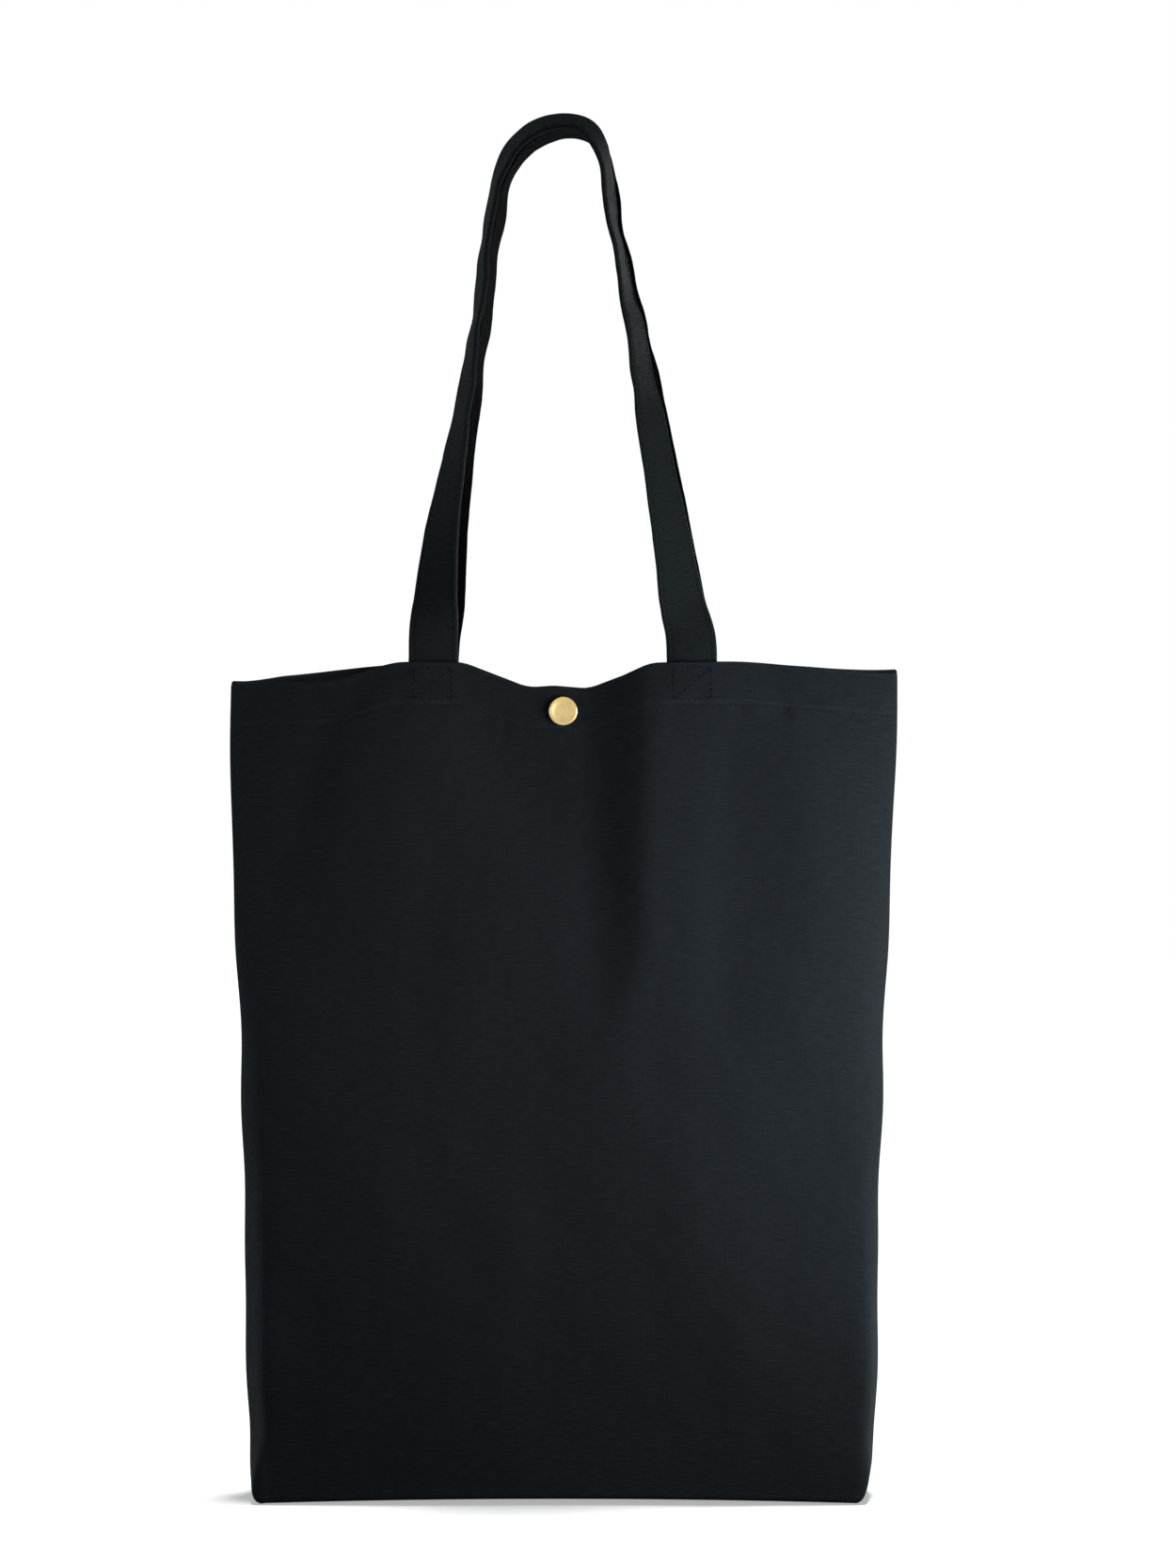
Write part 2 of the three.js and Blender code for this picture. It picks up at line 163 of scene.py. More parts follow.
def smoothstep(value, low, high):
    """0 below low, 1 above high, and a smooth cubic between."""
    t = np.clip((value - low) / (high - low), 0, 1)
    return t * t * (3 - 2 * t)


def ramp(value, low, high):
    """0 below low, 1 above high, and nearly straight between, with its corners rounded off."""
    span = high - low
    return sum(np.clip((value - low + span * k) / span, 0, 1) for k in (-0.12, -0.04, 0.04, 0.12)) / 4


def bell(value, width):
    """A Gaussian hump of height 1 and the given half width."""
    return np.exp(-(value / width) ** 2)


def ripples(x, z, length, seed, waves=14, stretch=1.0):
    """A smooth field of about unit height: a sum of sine waves in seeded random directions, with
    wavelengths spread around length, drawn out along z by stretch."""
    draw = np.random.default_rng(seed)
    total = np.zeros(np.broadcast(x, z).shape)
    for _ in range(waves):
        angle, phase = draw.uniform(0, 2 * math.pi, 2)
        wavelength = length * draw.uniform(0.7, 1.6)
        along = x * math.cos(angle) + z * math.sin(angle) / stretch
        total += np.sin(2 * math.pi * along / wavelength + phase)
    return total / math.sqrt(waves / 2)


def wander(along, length, seed):
    """Ripples of one distance: a sum of seeded sine waves, with wavelengths around length."""
    draw = np.random.default_rng(seed)
    waves = length * draw.uniform(0.6, 1.8, 8)
    phases = draw.uniform(0, 2 * math.pi, 8)
    return np.sin(2 * math.pi * np.asarray(along)[..., None] / waves + phases).sum(-1) / 2


# ---- the walls' shape


def edge_at(z, edge):
    """A side edge at each height: the table's straight runs, each corner rounded off by averaging
    over a window of heights that is small near the ground."""
    low, high = EDGE_ROUNDING
    window = low + (high - low) * smoothstep(z, *EDGE_ROUNDING_RISE)
    shares = np.linspace(-1, 1, 6)
    return MM * sum(np.interp((z + share * window) / MM, EDGE_HEIGHTS, edge) for share in shares) / len(shares)


def half_width(z):
    """Half the distance between the side edges."""
    return (edge_at(z, RIGHT_EDGE) - edge_at(z, LEFT_EDGE)) / 2


def lean(z):
    """Where the middle between the side edges stands."""
    return (edge_at(z, RIGHT_EDGE) + edge_at(z, LEFT_EDGE)) / 2


def half_depth(z):
    """Half the depth: the full box near the ground, narrowing smoothly to the mouth."""
    return BASE_HALF_DEPTH + (MOUTH_HALF_DEPTH - BASE_HALF_DEPTH) * smoothstep(z, *NARROWING)


def by_side(across, pair):
    """The pair's value for the left or the right, whichever each place is on."""
    return np.where(across < 0, pair[-1], pair[1])


def section(across, z):
    """Share of the half depth at a share across of the half width. Near the ground it is a flat
    front with a slanting gusset and a rounded crease between them; at the mouth it is a
    superellipse. The two are mixed by a bell in height."""
    inward = np.maximum(1 - np.abs(across), 0)
    crease = by_side(across, CREASE_SHARE)
    crease = crease + (FOOT_CREASE - crease) * (1 - smoothstep(z, 0.0, FOOT_CREASE_TOP))
    slope = inward / (1 - crease)
    roundness = by_side(across, CREASE_ROUNDNESS)
    boxed = slope / (1 + slope**roundness) ** (1 / roundness)
    low, high = LENS_EXPONENTS
    exponent = low + (high - low) * smoothstep(z, *LENS_RISE)
    lens = np.maximum(1 - np.abs(across) ** exponent, 0) ** (1 / exponent)
    share = bell(z, BOXED_HEIGHT)
    return share * boxed + (1 - share) * lens


def mouth_height(x, side):
    """Height of the mouth's edge: level at the straps, dipped at the snap between two ramps with
    bells for its humps, lower at the corners by smooth steps, and wavering except at the straps."""
    x = x / MM
    edge = -DIP * (1 - ramp(x, *DIP_RIGHT)) * (1 - ramp(-x, *DIP_LEFT)) - MOUTH_CLEARANCE
    for height, place, width in DIP_HUMPS:
        edge = edge + height * bell(x - place, width)
    for sign, drop, start, end in CORNER_DROPS[side]:
        edge = edge - drop * smoothstep(sign * x, start, end)
    calm = 1 - 0.8 * bell(np.abs(x) - 66, 16)
    edge = edge + MOUTH_WAVER * ripples(x, 0 * x, 60, MOUTH_SEED[side]) * calm
    return MOUTH_HEIGHT + edge * MM


# Folds as (top, foot, bow, left, right, height): each runs from its top to its foot, (x, z) in
# millimetres, bowed sideways by bow, with left and right as the widths of its flanks. Its height is
# positive for a ridge and negative for a valley.
FOLDS = {
    FRONT: (
        ((52, 440), (24, 170), 10, 17, 60, 2.4),
        ((92, 400), (84, 215), -3, 14, 18, -2.1),
        ((-66, 440), (-78, 330), 0, 30, 40, 1.5),
        ((-100, 432), (-158, 265), -8, 17, 15, -2.6),
        ((122, 400), (140, 150), 6, 26, 26, 1.2),
        ((-120, 250), (-60, 60), 4, 26, 30, 0.9),
        ((40, 200), (96, 36), -6, 24, 28, 1.1),
    ),
    BACK: (
        ((-52, 440), (-24, 170), -10, 38, 22, 4.6),
        ((-24, 420), (-2, 190), -5, 15, 24, -3.6),
        ((58, 440), (92, 210), 6, 30, 30, 3.4),
        ((104, 420), (150, 260), 8, 16, 20, -2.4),
        ((-112, 400), (-132, 180), -5, 18, 22, -1.8),
        ((20, 200), (-70, 50), 6, 26, 26, 1.6),
    ),
}
FOLD_FADE_IN = 0.12
FOLD_FADE_OUT = 0.55

# Slow swells and small creases as (height, length, seed, stretch)
SWELLS = ((0.8 * MM, 120 * MM, 3, 1.6), (0.24 * MM, 42 * MM, 8, 1.8), (0.07 * MM, 15 * MM, 12, 1.0))

# What the sewing leaves in the cloth, and how far from the snap the cloth lies still
HEM_GROOVE = -0.38 * MM
HEM_STEP = 0.30 * MM
HEM_PUCKER = 0.22 * MM
SIDE_PUCKER = 0.20 * MM
ALLOWANCE_STEP = 0.22 * MM
STRAP_END_STEP = 0.45 * MM
STRAP_END_HALF_WIDTH = 13.4 * MM
STEP_SLOPE = 1.4 * MM
SNAP_CALM = 17 * MM
SNAP_FLAT = 9 * MM


def fold(x, z, top, foot, bow, left, right, height):
    """One fold's displacement: a bell across its line, with its own width on each flank, that
    fades in at the top and out at the foot. The line is straight but for a parabola's bow."""
    share = (top[1] * MM - z) / ((top[1] - foot[1]) * MM)
    line = (top[0] + (foot[0] - top[0]) * share + 4 * bow * share * (1 - share)) * MM
    offset = x - line
    across = bell(offset, np.where(offset < 0, left, right) * MM)
    fade = smoothstep(share, -FOLD_FADE_IN, FOLD_FADE_IN) * (1 - smoothstep(share, FOLD_FADE_OUT, 1.0))
    return height * MM * across * fade


def pinch(x, z):
    """How far the snap draws a wall back to the middle: flat under the snap, a long gentle slope
    to the left and a short steep one to the right, easing off downwards."""
    beside = x - SNAP.x + PINCH_DRIFT * (1 - smoothstep(z, *PINCH_DRIFT_RISE))
    right = 1 - smoothstep(beside, *PINCH_RIGHT) ** PINCH_RIGHT_POWER
    left = 1 - smoothstep(-beside, *PINCH_LEFT)
    return (MOUTH_HALF_DEPTH - SNAP_CLOTH_MIDDLE) * right * left * smoothstep(z, *PINCH_RISE)


def seam_dents(x, z, side):
    """Dents and bulges that the sewing leaves: a groove along the hem's stitches, the strap ends
    telegraphing through, and puckers beside the hem and side seams."""
    below = mouth_height(x, side) - z
    hem = below - HEM_LINE
    edge = half_width(z) - np.abs(x - lean(z))
    total = HEM_GROOVE * bell(hem, 0.9 * MM) + HEM_STEP * (1 - smoothstep(hem, 0, 2.4 * MM))
    total = total + HEM_PUCKER * ripples(x, 0.35 * z, 11 * MM, 21 + side) * bell(hem, 7 * MM)
    total = total + SIDE_PUCKER * ripples(0.3 * x, z, 17 * MM, 31 + side) * bell(edge - 4 * MM, 7 * MM)
    total = total + ALLOWANCE_STEP * (1 - smoothstep(edge, 9.5 * MM, 12 * MM)) * smoothstep(z, 0.33, 0.42)
    for strap in STRAP_X.values():
        inside = smoothstep(STRAP_END_HALF_WIDTH - np.abs(x - strap), 0, STEP_SLOPE)
        high = smoothstep(SEWN_LENGTH + 1.2 * MM - below, 0, STEP_SLOPE)
        total = total + STRAP_END_STEP * inside * high
    return total


def relief(x, z, side):
    """The wall's displacement away from the middle plane: folds, slow swells, small creases and
    what the sewing leaves, held still around the snap."""
    total = np.zeros(np.broadcast(x, z).shape)
    for one in FOLDS[side]:
        total = total + fold(x, z, *one)
    for height, length, seed, stretch in SWELLS:
        total = total + height * ripples(x, z, length, seed + side, stretch=stretch)
    from_snap = np.hypot(x - SNAP.x, z - SNAP.z)
    total = total * (1 - bell(from_snap, SNAP_CALM) ** 0.7)
    return total + seam_dents(x, z, side) * (1 - bell(from_snap, SNAP_FLAT))


def wall_point(side, across, z):
    """A point on the middle of one wall's cloth. across is the share of the half width, from -1
    at the left seam to 1 at the right one. The depth is the section times the half depth, less
    the snap's pinch, plus the relief; close to the seam the cloth rolls inwards, and the middle
    of the foot arches off the ground by a parabola."""
    x = lean(z) + half_width(z) * across
    share = section(across, z)
    calm = smoothstep(share, 0.0, 0.75) * smoothstep(z, 0.0, 45 * MM)
    depth = (half_depth(z) - SEAM_HALF_GAP - pinch(x, z)) * share + relief(x, z, side) * calm
    roll = SEAM_ROLL * bell(depth, SEAM_ROLL_DEPTH)
    waver = SEAM_WAVER * ripples(0 * z, z, 70 * MM, 41) * smoothstep(z, 10 * MM, 50 * MM)
    x = x + (waver * np.abs(across) ** 3 - roll) * np.sign(across)
    lift = FOOT_LIFT * (1 - np.minimum(across**2, 1)) * (1 - smoothstep(z, 0.0, FOOT_LIFT_TOP))
    return np.stack([x, side * (SEAM_HALF_GAP + depth), z + lift], axis=-1)


def together(*parts):
    """The parts, spread to one shape, side by side on a last axis."""
    return np.stack(np.broadcast_arrays(*parts), -1)


def unit(vectors):
    """Vectors at length one."""
    return vectors / np.maximum(np.linalg.norm(vectors, axis=-1, keepdims=True), 1e-12)


def wall_frame(side, across, z, depth=0.0):
    """A wall's point at a depth inside its cloth's middle, and its outward normal, from small
    steps across and up."""
    step = 2e-4
    high = np.minimum(across + step, 1)
    low = np.maximum(across - step, -1)
    along = wall_point(side, high, z) - wall_point(side, low, z)
    up = wall_point(side, across, z + 3e-4) - wall_point(side, across, z - 3e-4)
    normal = unit(np.cross(along, up)) * (-side)
    return wall_point(side, across, z) - normal * np.expand_dims(depth, -1), normal


def across_of(x, z):
    """The share of the half width of a place x at height z."""
    return (x - lean(z)) / half_width(z)


# ---- mesh helpers

def add_object(name, data):
    """An object made and put in the scene."""
    made = bpy.data.objects.new(name, data)
    bpy.context.scene.collection.objects.link(made)
    return made


def make_piece(name, points, faces, uv, material, wear=None, sharp=None):
    """A smooth-shaded mesh object at the origin, with a UV in metres for the weave and a wear
    attribute for rubbed edges."""
    mesh = bpy.data.meshes.new(name)
    mesh.from_pydata(points.tolist(), [], faces)
    mesh.update()
    loops = np.zeros(len(mesh.loops), np.int32)
    mesh.loops.foreach_get("vertex_index", loops)
    layer = mesh.uv_layers.new(name="cloth_uv")
    layer.data.foreach_set("uv", uv[loops].astype(np.float32).ravel())
    values = np.zeros(len(points)) if wear is None else wear
    attribute = mesh.attributes.new("wear", "FLOAT", "POINT")
    attribute.data.foreach_set("value", values.astype(np.float32))
    mesh.polygons.foreach_set("use_smooth", np.ones(len(mesh.polygons), bool))
    if sharp is not None:
        mesh.set_sharp_from_angle(angle=math.radians(sharp))
    mesh.materials.append(material)
    return add_object(name, mesh)


def signed_volume(points, faces):
    """Six times the volume inside a closed mesh of four-sided faces."""
    corners = points[np.asarray(faces)]
    a, b, c, d = (corners[:, k] for k in range(4))
    return float((np.cross(a, b) * c).sum() + (np.cross(a, c) * d).sum())


def sheet_faces(columns, rows):
    """Faces of a closed sheet: an outer grid, the inner grid behind it, and the rim between."""
    index = np.arange(columns * rows).reshape(columns, rows)
    quads = np.stack([index[:-1, :-1], index[1:, :-1], index[1:, 1:], index[:-1, 1:]], -1).reshape(-1, 4)
    rim = np.concatenate([index[:-1, 0], index[-1, :-1], index[:0:-1, -1], index[0, :0:-1]])
    after = np.roll(rim, -1)
    count = columns * rows
    return np.concatenate([quads, quads[:, ::-1] + count, np.stack([after, rim, rim + count, after + count], -1)])


def share_of_cloth(points):
    """UV in metres: the distance along the cloth from the middle column, and up from the foot."""
    across = np.linalg.norm(np.diff(points, axis=0), axis=-1)
    across = np.concatenate([np.zeros((1, points.shape[1])), np.cumsum(across, axis=0)])
    across -= across[len(across) // 2]
    upward = np.linalg.norm(np.diff(points, axis=1), axis=-1)
    upward = np.concatenate([np.zeros((points.shape[0], 1)), np.cumsum(upward, axis=1)], axis=1)
    return np.stack([across, upward], -1)


def closed_sheet(name, middle_points, thickness, material, wear=None):
    """Cloth of a given thickness: the grid of its middle, moved half the thickness each way along
    its own normals, and closed round the rim."""
    along = np.gradient(middle_points, axis=0)
    up = np.gradient(middle_points, axis=1)
    normal = unit(np.cross(along, up))
    half = normal * (thickness / 2)
    outer = (middle_points + half).reshape(-1, 3)
    inner = (middle_points - half).reshape(-1, 3)
    points = np.concatenate([outer, inner])
    faces = sheet_faces(*middle_points.shape[:2])
    if signed_volume(points, faces) < 0:
        faces = faces[:, ::-1]
    both = np.concatenate([share_of_cloth(middle_points).reshape(-1, 2)] * 2)
    worn = None if wear is None else np.concatenate([wear.ravel()] * 2)
    return make_piece(name, points, faces.tolist(), both, material, worn, sharp=50)


def swept(name, rings, uv, material, wear=None, sharp=40):
    """A closed tube through rings of points, (stations, points around, 3), with a fan of
    triangles on a middle point at each end."""
    stations, around = rings.shape[:2]
    index = np.arange(stations * around).reshape(stations, around)
    after = np.roll(index, -1, axis=1)
    quads = np.stack([index[:-1], after[:-1], after[1:], index[1:]], -1).reshape(-1, 4).tolist()
    first, last = stations * around, stations * around + 1
    quads += [[first, b, a] for a, b in zip(index[0].tolist(), after[0].tolist())]
    quads += [[last, a, b] for a, b in zip(index[-1].tolist(), after[-1].tolist())]
    points = np.concatenate([rings.reshape(-1, 3), rings[0].mean(0)[None], rings[-1].mean(0)[None]])
    flat_uv = np.concatenate([uv.reshape(-1, 2), uv[0].mean(0)[None], uv[-1].mean(0)[None]])
    worn = None if wear is None else np.concatenate([wear.ravel(), [0, 0]])
    triangles = [q[:3] for q in quads] + [[q[0], q[2], q[3]] for q in quads if len(q) == 4]
    a, b, c = (points[np.array(triangles)[:, k]] for k in range(3))
    if (np.cross(a, b) * c).sum() < 0:
        quads = [q[::-1] for q in quads]
    return make_piece(name, points, quads, flat_uv, material, worn, sharp)


# A stitch's grid, and its shape in radii: how high it bows, how deep it sinks and how blunt it ends
STITCH_RINGS = 5
STITCH_SIDES = 6
STITCH_BOW = 0.9
STITCH_SINK = 0.35
STITCH_BLUNTNESS = 0.6


def stitches(name, starts, ends, normals, radius, material):
    """A row of separate stitches: each is a capsule from start to end, bowed up along the normal
    by a half sine and drawn in to a point at both ends by a half circle's profile."""
    count = len(starts)
    along = ends - starts
    direction = unit(along)
    sideways = unit(np.cross(normals, direction))
    share = np.linspace(0, 1, STITCH_RINGS + 2)
    turn = np.arange(STITCH_SIDES) * 2 * math.pi / STITCH_SIDES
    swell = np.sqrt(np.maximum(1 - (2 * share - 1) ** 2, 0)) ** STITCH_BLUNTNESS * radius
    rise = radius * (STITCH_BOW * np.sin(math.pi * share) - STITCH_SINK)
    spine = starts[:, None] + along[:, None] * share[:, None] + normals[:, None] * rise[:, None]
    around = (sideways[:, None] * np.cos(turn)[:, None] + normals[:, None] * np.sin(turn)[:, None])
    rings = spine[:, 1:-1, None] + around[:, None] * swell[1:-1, None, None]
    each = STITCH_RINGS * STITCH_SIDES + 2
    points = np.concatenate([rings.reshape(count, -1, 3), spine[:, [0, -1]]], axis=1).reshape(-1, 3)
    index = np.arange(STITCH_RINGS * STITCH_SIDES).reshape(STITCH_RINGS, STITCH_SIDES)
    after = np.roll(index, -1, axis=1)
    quads = np.stack([index[:-1], index[1:], after[1:], after[:-1]], -1).reshape(-1, 4)
    caps = np.concatenate([
        np.stack([0 * index[0] + each - 2, index[0], after[0]], -1),
        np.stack([0 * index[-1] + each - 1, after[-1], index[-1]], -1),
    ])
    shift = (np.arange(count) * each)[:, None, None]
    faces = (quads + shift).reshape(-1, 4).tolist() + (caps + shift).reshape(-1, 3).tolist()
    ring_uv = together(turn[None, :] * radius, share[1:-1, None] * 3 * MM)
    one_uv = np.concatenate([ring_uv.reshape(-1, 2), [[0, 0], [0, 3 * MM]]])
    return make_piece(name, points, faces, np.tile(one_uv, (count, 1)), material)


def turned(name, profile, material, segments=72):
    """A piece turned about the snap's axis: profile holds (radius, y) pairs in millimetres that
    start and end on the axis, and each is carried round in a circle."""
    inner = np.array(profile[1:-1], float) * MM
    angle = np.arange(segments) * 2 * math.pi / segments
    x = SNAP.x + inner[:, :1] * np.cos(angle)
    z = SNAP.z + inner[:, :1] * np.sin(angle)
    rings = together(x, inner[:, 1:], z)
    uv = together(angle[None] * MM, inner[:, :1])
    return swept(name, rings, uv, material, sharp=35)


# ---- the walls and base


def wall_columns(count):
    """Shares across the wall, close together at the seams: mostly a sine, with a little of the
    even spacing so that the last columns don't crowd."""
    even = np.linspace(-1, 1, count)
    return 0.05 * even + 0.95 * np.sin(even * math.pi / 2)


def facing_gap(x, z):
    """How far the turned hem stands behind the wall: the fold's width, pressed shut at the snap."""
    at_snap = bell(np.hypot(x - SNAP.x, z - SNAP.z), 8.5 * MM)
    return 2 * HEM_FOLD - (2 * HEM_FOLD - CLOTH - 0.1 * MM) * at_snap


# Rows of a wall from the foot's quarter circle to the facing inside, and the band by the hem whose
# rows stand closer
FOOT_ROWS, BODY_ROWS, BAND_ROWS, FOLD_ROWS, FACING_ROWS = 6, 158, 44, 10, 15
BAND_DEPTH = 34 * MM
FOOT_CROWDING = 0.45


def wall_rows(across, side):
    """Height and depth of every row of a wall: turned in under the foot by a quarter circle, up
    the wall, over the mouth's edge by a half circle, and down inside as the hem's facing."""
    x = MOUTH_HALF_WIDTH * across
    edge = mouth_height(x, side)[:, None]
    one = np.ones_like(edge)
    quarter = np.linspace(0, math.pi / 2, FOOT_ROWS)[None]
    foot = CLOTH / 2 + FOOT_RADIUS
    top = edge - HEM_FOLD - CLOTH / 2
    band_foot = edge - BAND_DEPTH
    even = np.linspace(0, 1, BODY_ROWS)[None]
    body = foot + (band_foot - foot) * even * (1 - FOOT_CROWDING * (1 - even) ** 4)
    band = band_foot + (top - band_foot) * np.linspace(0, 1, BAND_ROWS)[None]
    half = np.linspace(0, math.pi, FOLD_ROWS)[None, 1:]
    inside = top + (edge - HEM_DEPTH - top) * np.linspace(0, 1, FACING_ROWS)[None, 1:]
    height = [one * CLOTH / 2, CLOTH / 2 + FOOT_RADIUS * (1 - np.cos(quarter)) * one,
              body[:, 1:], band[:, 1:], top + HEM_FOLD * np.sin(half), inside]
    depth = [one * FOOT_TURN_IN, FOOT_RADIUS * (1 - np.sin(quarter)) * one, 0 * body[:, 1:],
             0 * band[:, 1:], HEM_FOLD * (1 - np.cos(half)) * one, facing_gap(x[:, None], inside)]
    return np.concatenate(height, 1), np.concatenate(depth, 1)


def wall_wear(across, height, side):
    """Rubbed places, each a bell: the mouth's fold, the foot, the boxed creases up to where they
    fade, and the ridge over the hem."""
    across = across[:, None]
    below = mouth_height(MOUTH_HALF_WIDTH * across, side) - height
    crease = bell((np.abs(across) - by_side(across, CREASE_SHARE)) * MOUTH_HALF_WIDTH, 1.6 * MM)
    crease = 0.45 * crease * (1 - smoothstep(height, 90 * MM, 190 * MM))
    seam = 0.35 * bell(below - HEM_LINE + 1.6 * MM, 0.9 * MM)
    return np.clip(bell(below, 1.3 * MM) + 0.7 * bell(height, 3 * MM) + crease + seam, 0, 1)


def make_wall(side, name, sizes, material):
    """One wall's cloth with its hem: the wall's own rows and columns, each point moved in from
    the wall by its row's depth."""
    across = wall_columns(sizes.columns)
    height, depth = wall_rows(across, side)
    spread = np.broadcast_to(across[:, None], height.shape)
    points, normal = wall_frame(side, spread, height)
    level = normal.copy()
    level[..., 2] = level[..., 2] * smoothstep(height, 2 * MM, 12 * MM)
    points = points - unit(level) * depth[..., None]
    return closed_sheet(name, points, sizes.thickness, material, wall_wear(across, height, side))


STILL_X = MOUTH_HALF_WIDTH - 3 * MM
FREE_X = 86 * MM


def follow_front_wall(piece):
    """The piece's middle follows the front wall as the mouth opens, and both sides stay at the
    side seams."""
    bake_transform(piece, "bag", "front_wall", start=(-STILL_X, 0, 0), end=(0, 0, 0))
    mesh = piece.data
    place = np.zeros(len(mesh.vertices) * 3, np.float32)
    mesh.vertices.foreach_get("co", place)
    weight = smoothstep(STILL_X - np.abs(place[0::3]), 0, STILL_X - FREE_X)
    mesh.attributes["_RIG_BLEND"].data.foreach_set("value", weight.astype(np.float32))


BASE_GRID = (121, 25)
SIDE_ALLOWANCE_FOOT = 13 * MM
SIDE_LAYERS, CORNER_LAYERS, BASE_LAYERS = 1.7 * MM, 1.6 * MM, 1.5 * MM


def make_base(sizes, material):
    """The base: the walls' outline drawn in by the turned foot, filled by straight lines from
    front to back, with a shallow groove along the seam under its middle."""
    across = np.broadcast_to(wall_columns(BASE_GRID[0])[:, None], BASE_GRID)
    outline, normal = wall_frame(BACK, across, np.full(BASE_GRID, CLOTH / 2))
    normal[..., 2] = 0
    points = outline - unit(normal) * (FOOT_TURN_IN + 0.3 * MM)
    points[..., 1] = points[..., 1] * np.linspace(-1, 1, BASE_GRID[1])[None]
    points[..., 2] = points[..., 2] + 0.25 * MM * bell(points[..., 1], 1.2 * MM)
    return closed_sheet("base_cloth", points, sizes.thickness, material)


def make_side_allowance(sign, name, sizes, material):
    """A side seam's allowance inside the bag: two layers from the seam inwards, standing along
    the middle plane and waving a little."""
    across = np.linspace(0, 1, 9)[:, None]
    top = min(mouth_height(np.array(sign * MOUTH_HALF_WIDTH), side) for side in (FRONT, BACK))
    z = np.linspace(SIDE_ALLOWANCE_FOOT, top - 1.2 * MM, 190)[None]
    edge = wall_point(FRONT, np.full(z.shape, sign * 1.0), z)[..., 0]
    x = edge - sign * (0.4 * MM + sizes.allowance * across)
    y = 0.5 * MM * ripples(0.6 * x, z, 30 * MM, 51 + sign) * across
    points = together(x, y, z)
    return closed_sheet(name + "_side_allowance", points, SIDE_LAYERS, material)


def make_corner_allowance(sign, name, sizes, material):
    """The allowance of a boxed corner: a short strip standing inside the gusset's foot."""
    y = np.linspace(-22 * MM, 22 * MM, 41)[:, None]
    z = np.linspace(1.6 * MM, 1.6 * MM + 0.8 * sizes.allowance, 7)[None]
    x = middle(name + "_corner_seam").x - sign * 0.9 * MM * (1 - bell(y, 18 * MM)) * (z / z.max())
    points = together(x, y, z)
    return closed_sheet(name + "_corner_allowance", points, CORNER_LAYERS, material)


def make_base_allowance(sizes, material):
    """The base seam's allowance, pressed flat to the back with a slightly waving edge."""
    low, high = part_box("base_seam")
    x = np.linspace(low.x, high.x, 141)[:, None]
    y = np.linspace(low.y, high.y, 9)[None]
    lift = 0.25 * MM * (1 + ripples(x, y, 26 * MM, 61)) * (y / y.max()) ** 2
    arch = FOOT_LIFT * (1 - (x / x.max()) ** 2)
    points = together(x, y, 2.0 * MM + arch + lift)
    return closed_sheet("base_allowance", points, BASE_LAYERS, material)


# ---- stitching

# Share of a stitch's length that is the gap to the next, and the crossed box at a strap's end
STITCH_GAP = 0.18
BOX_HALF_WIDTH = 9.6 * MM
BOX_BELOW_MOUTH = 3.2 * MM
BOX_ABOVE_END = 1.6 * MM


def stitch_run(path, pitch):
    """Starts and ends of stitches along a polyline of (a, b) places, a whole number of them on
    each leg."""
    starts, ends = [], []
    for one, other in zip(np.array(path[:-1], float), np.array(path[1:], float)):
        count = max(1, round(float(np.linalg.norm(other - one)) / pitch))
        step = (other - one) / count
        place = one + np.arange(count)[:, None] * step
        starts.append(place + step * STITCH_GAP / 2)
        ends.append(place + step * (1 - STITCH_GAP / 2))
    return np.concatenate(starts), np.concatenate(ends)


def on_wall(side, place, outwards):
    """Points and normals at (x, z) places, that far outwards from the middle of a wall's cloth."""
    x, z = place[:, 0], place[:, 1]
    points, normal = wall_frame(side, across_of(x, z), z)
    return points + normal * np.asarray(outwards)[..., None], normal


def sew(name, side, starts, ends, inside, sizes, material):
    """Stitches through a hem: outside on the wall, and as far inside as the layers are deep."""
    outside = np.full(len(starts), CLOTH / 2)
    rows = []
    for outwards, facing in ((outside, 1), (inside, -1)):
        first, normal = on_wall(side, starts, outwards)
        last, _ = on_wall(side, ends, outwards)
        rows.append((first, last, normal * facing))
    first, last, normal = (np.concatenate(parts) for parts in zip(*rows))
    return stitches(name, first, last, normal, sizes.thread / 2, material)


def make_hem_stitches(side, name, sizes, material):
    """The single row round a hem, a fixed distance below the mouth's edge."""
    reach = MOUTH_HALF_WIDTH - 4 * MM
    x = np.linspace(-reach, reach, round(2 * reach / sizes.stitch) + 1)
    wobble = 0.18 * MM * ripples(x, 0 * x, 24 * MM, 71 + side)
    line = np.stack([x, mouth_height(x, side) - HEM_LINE + wobble], -1)
    trim = np.diff(line, axis=0) * STITCH_GAP / 2
    inside = -(facing_gap(x[:-1], line[:-1, 1]) + CLOTH / 2)
    return sew(name, side, line[:-1] + trim, line[1:] - trim, inside, sizes, material)


def make_box_stitches(side, name, strap, sizes, material):
    """The crossed box that holds a strap's end: a rectangle and its two diagonals."""
    left, right = STRAP_X[strap] - BOX_HALF_WIDTH, STRAP_X[strap] + BOX_HALF_WIDTH
    edge = float(mouth_height(np.array(STRAP_X[strap]), side))
    top, foot = edge - BOX_BELOW_MOUTH, edge - SEWN_LENGTH + BOX_ABOVE_END
    box = [(left, top), (right, top), (right, foot), (left, foot), (left, top)]
    paths = (box, [(left, top), (right, foot)], [(left, foot), (right, top)])
    runs = [stitch_run(path, sizes.stitch) for path in paths]
    starts, ends = (np.concatenate(parts) for parts in zip(*runs))
    inside = np.full(len(starts), -(STRAP_END_DEPTH + STRAP_THICKNESS / 2))
    return sew(name, side, starts, ends, inside, sizes, material)


# ---- straps

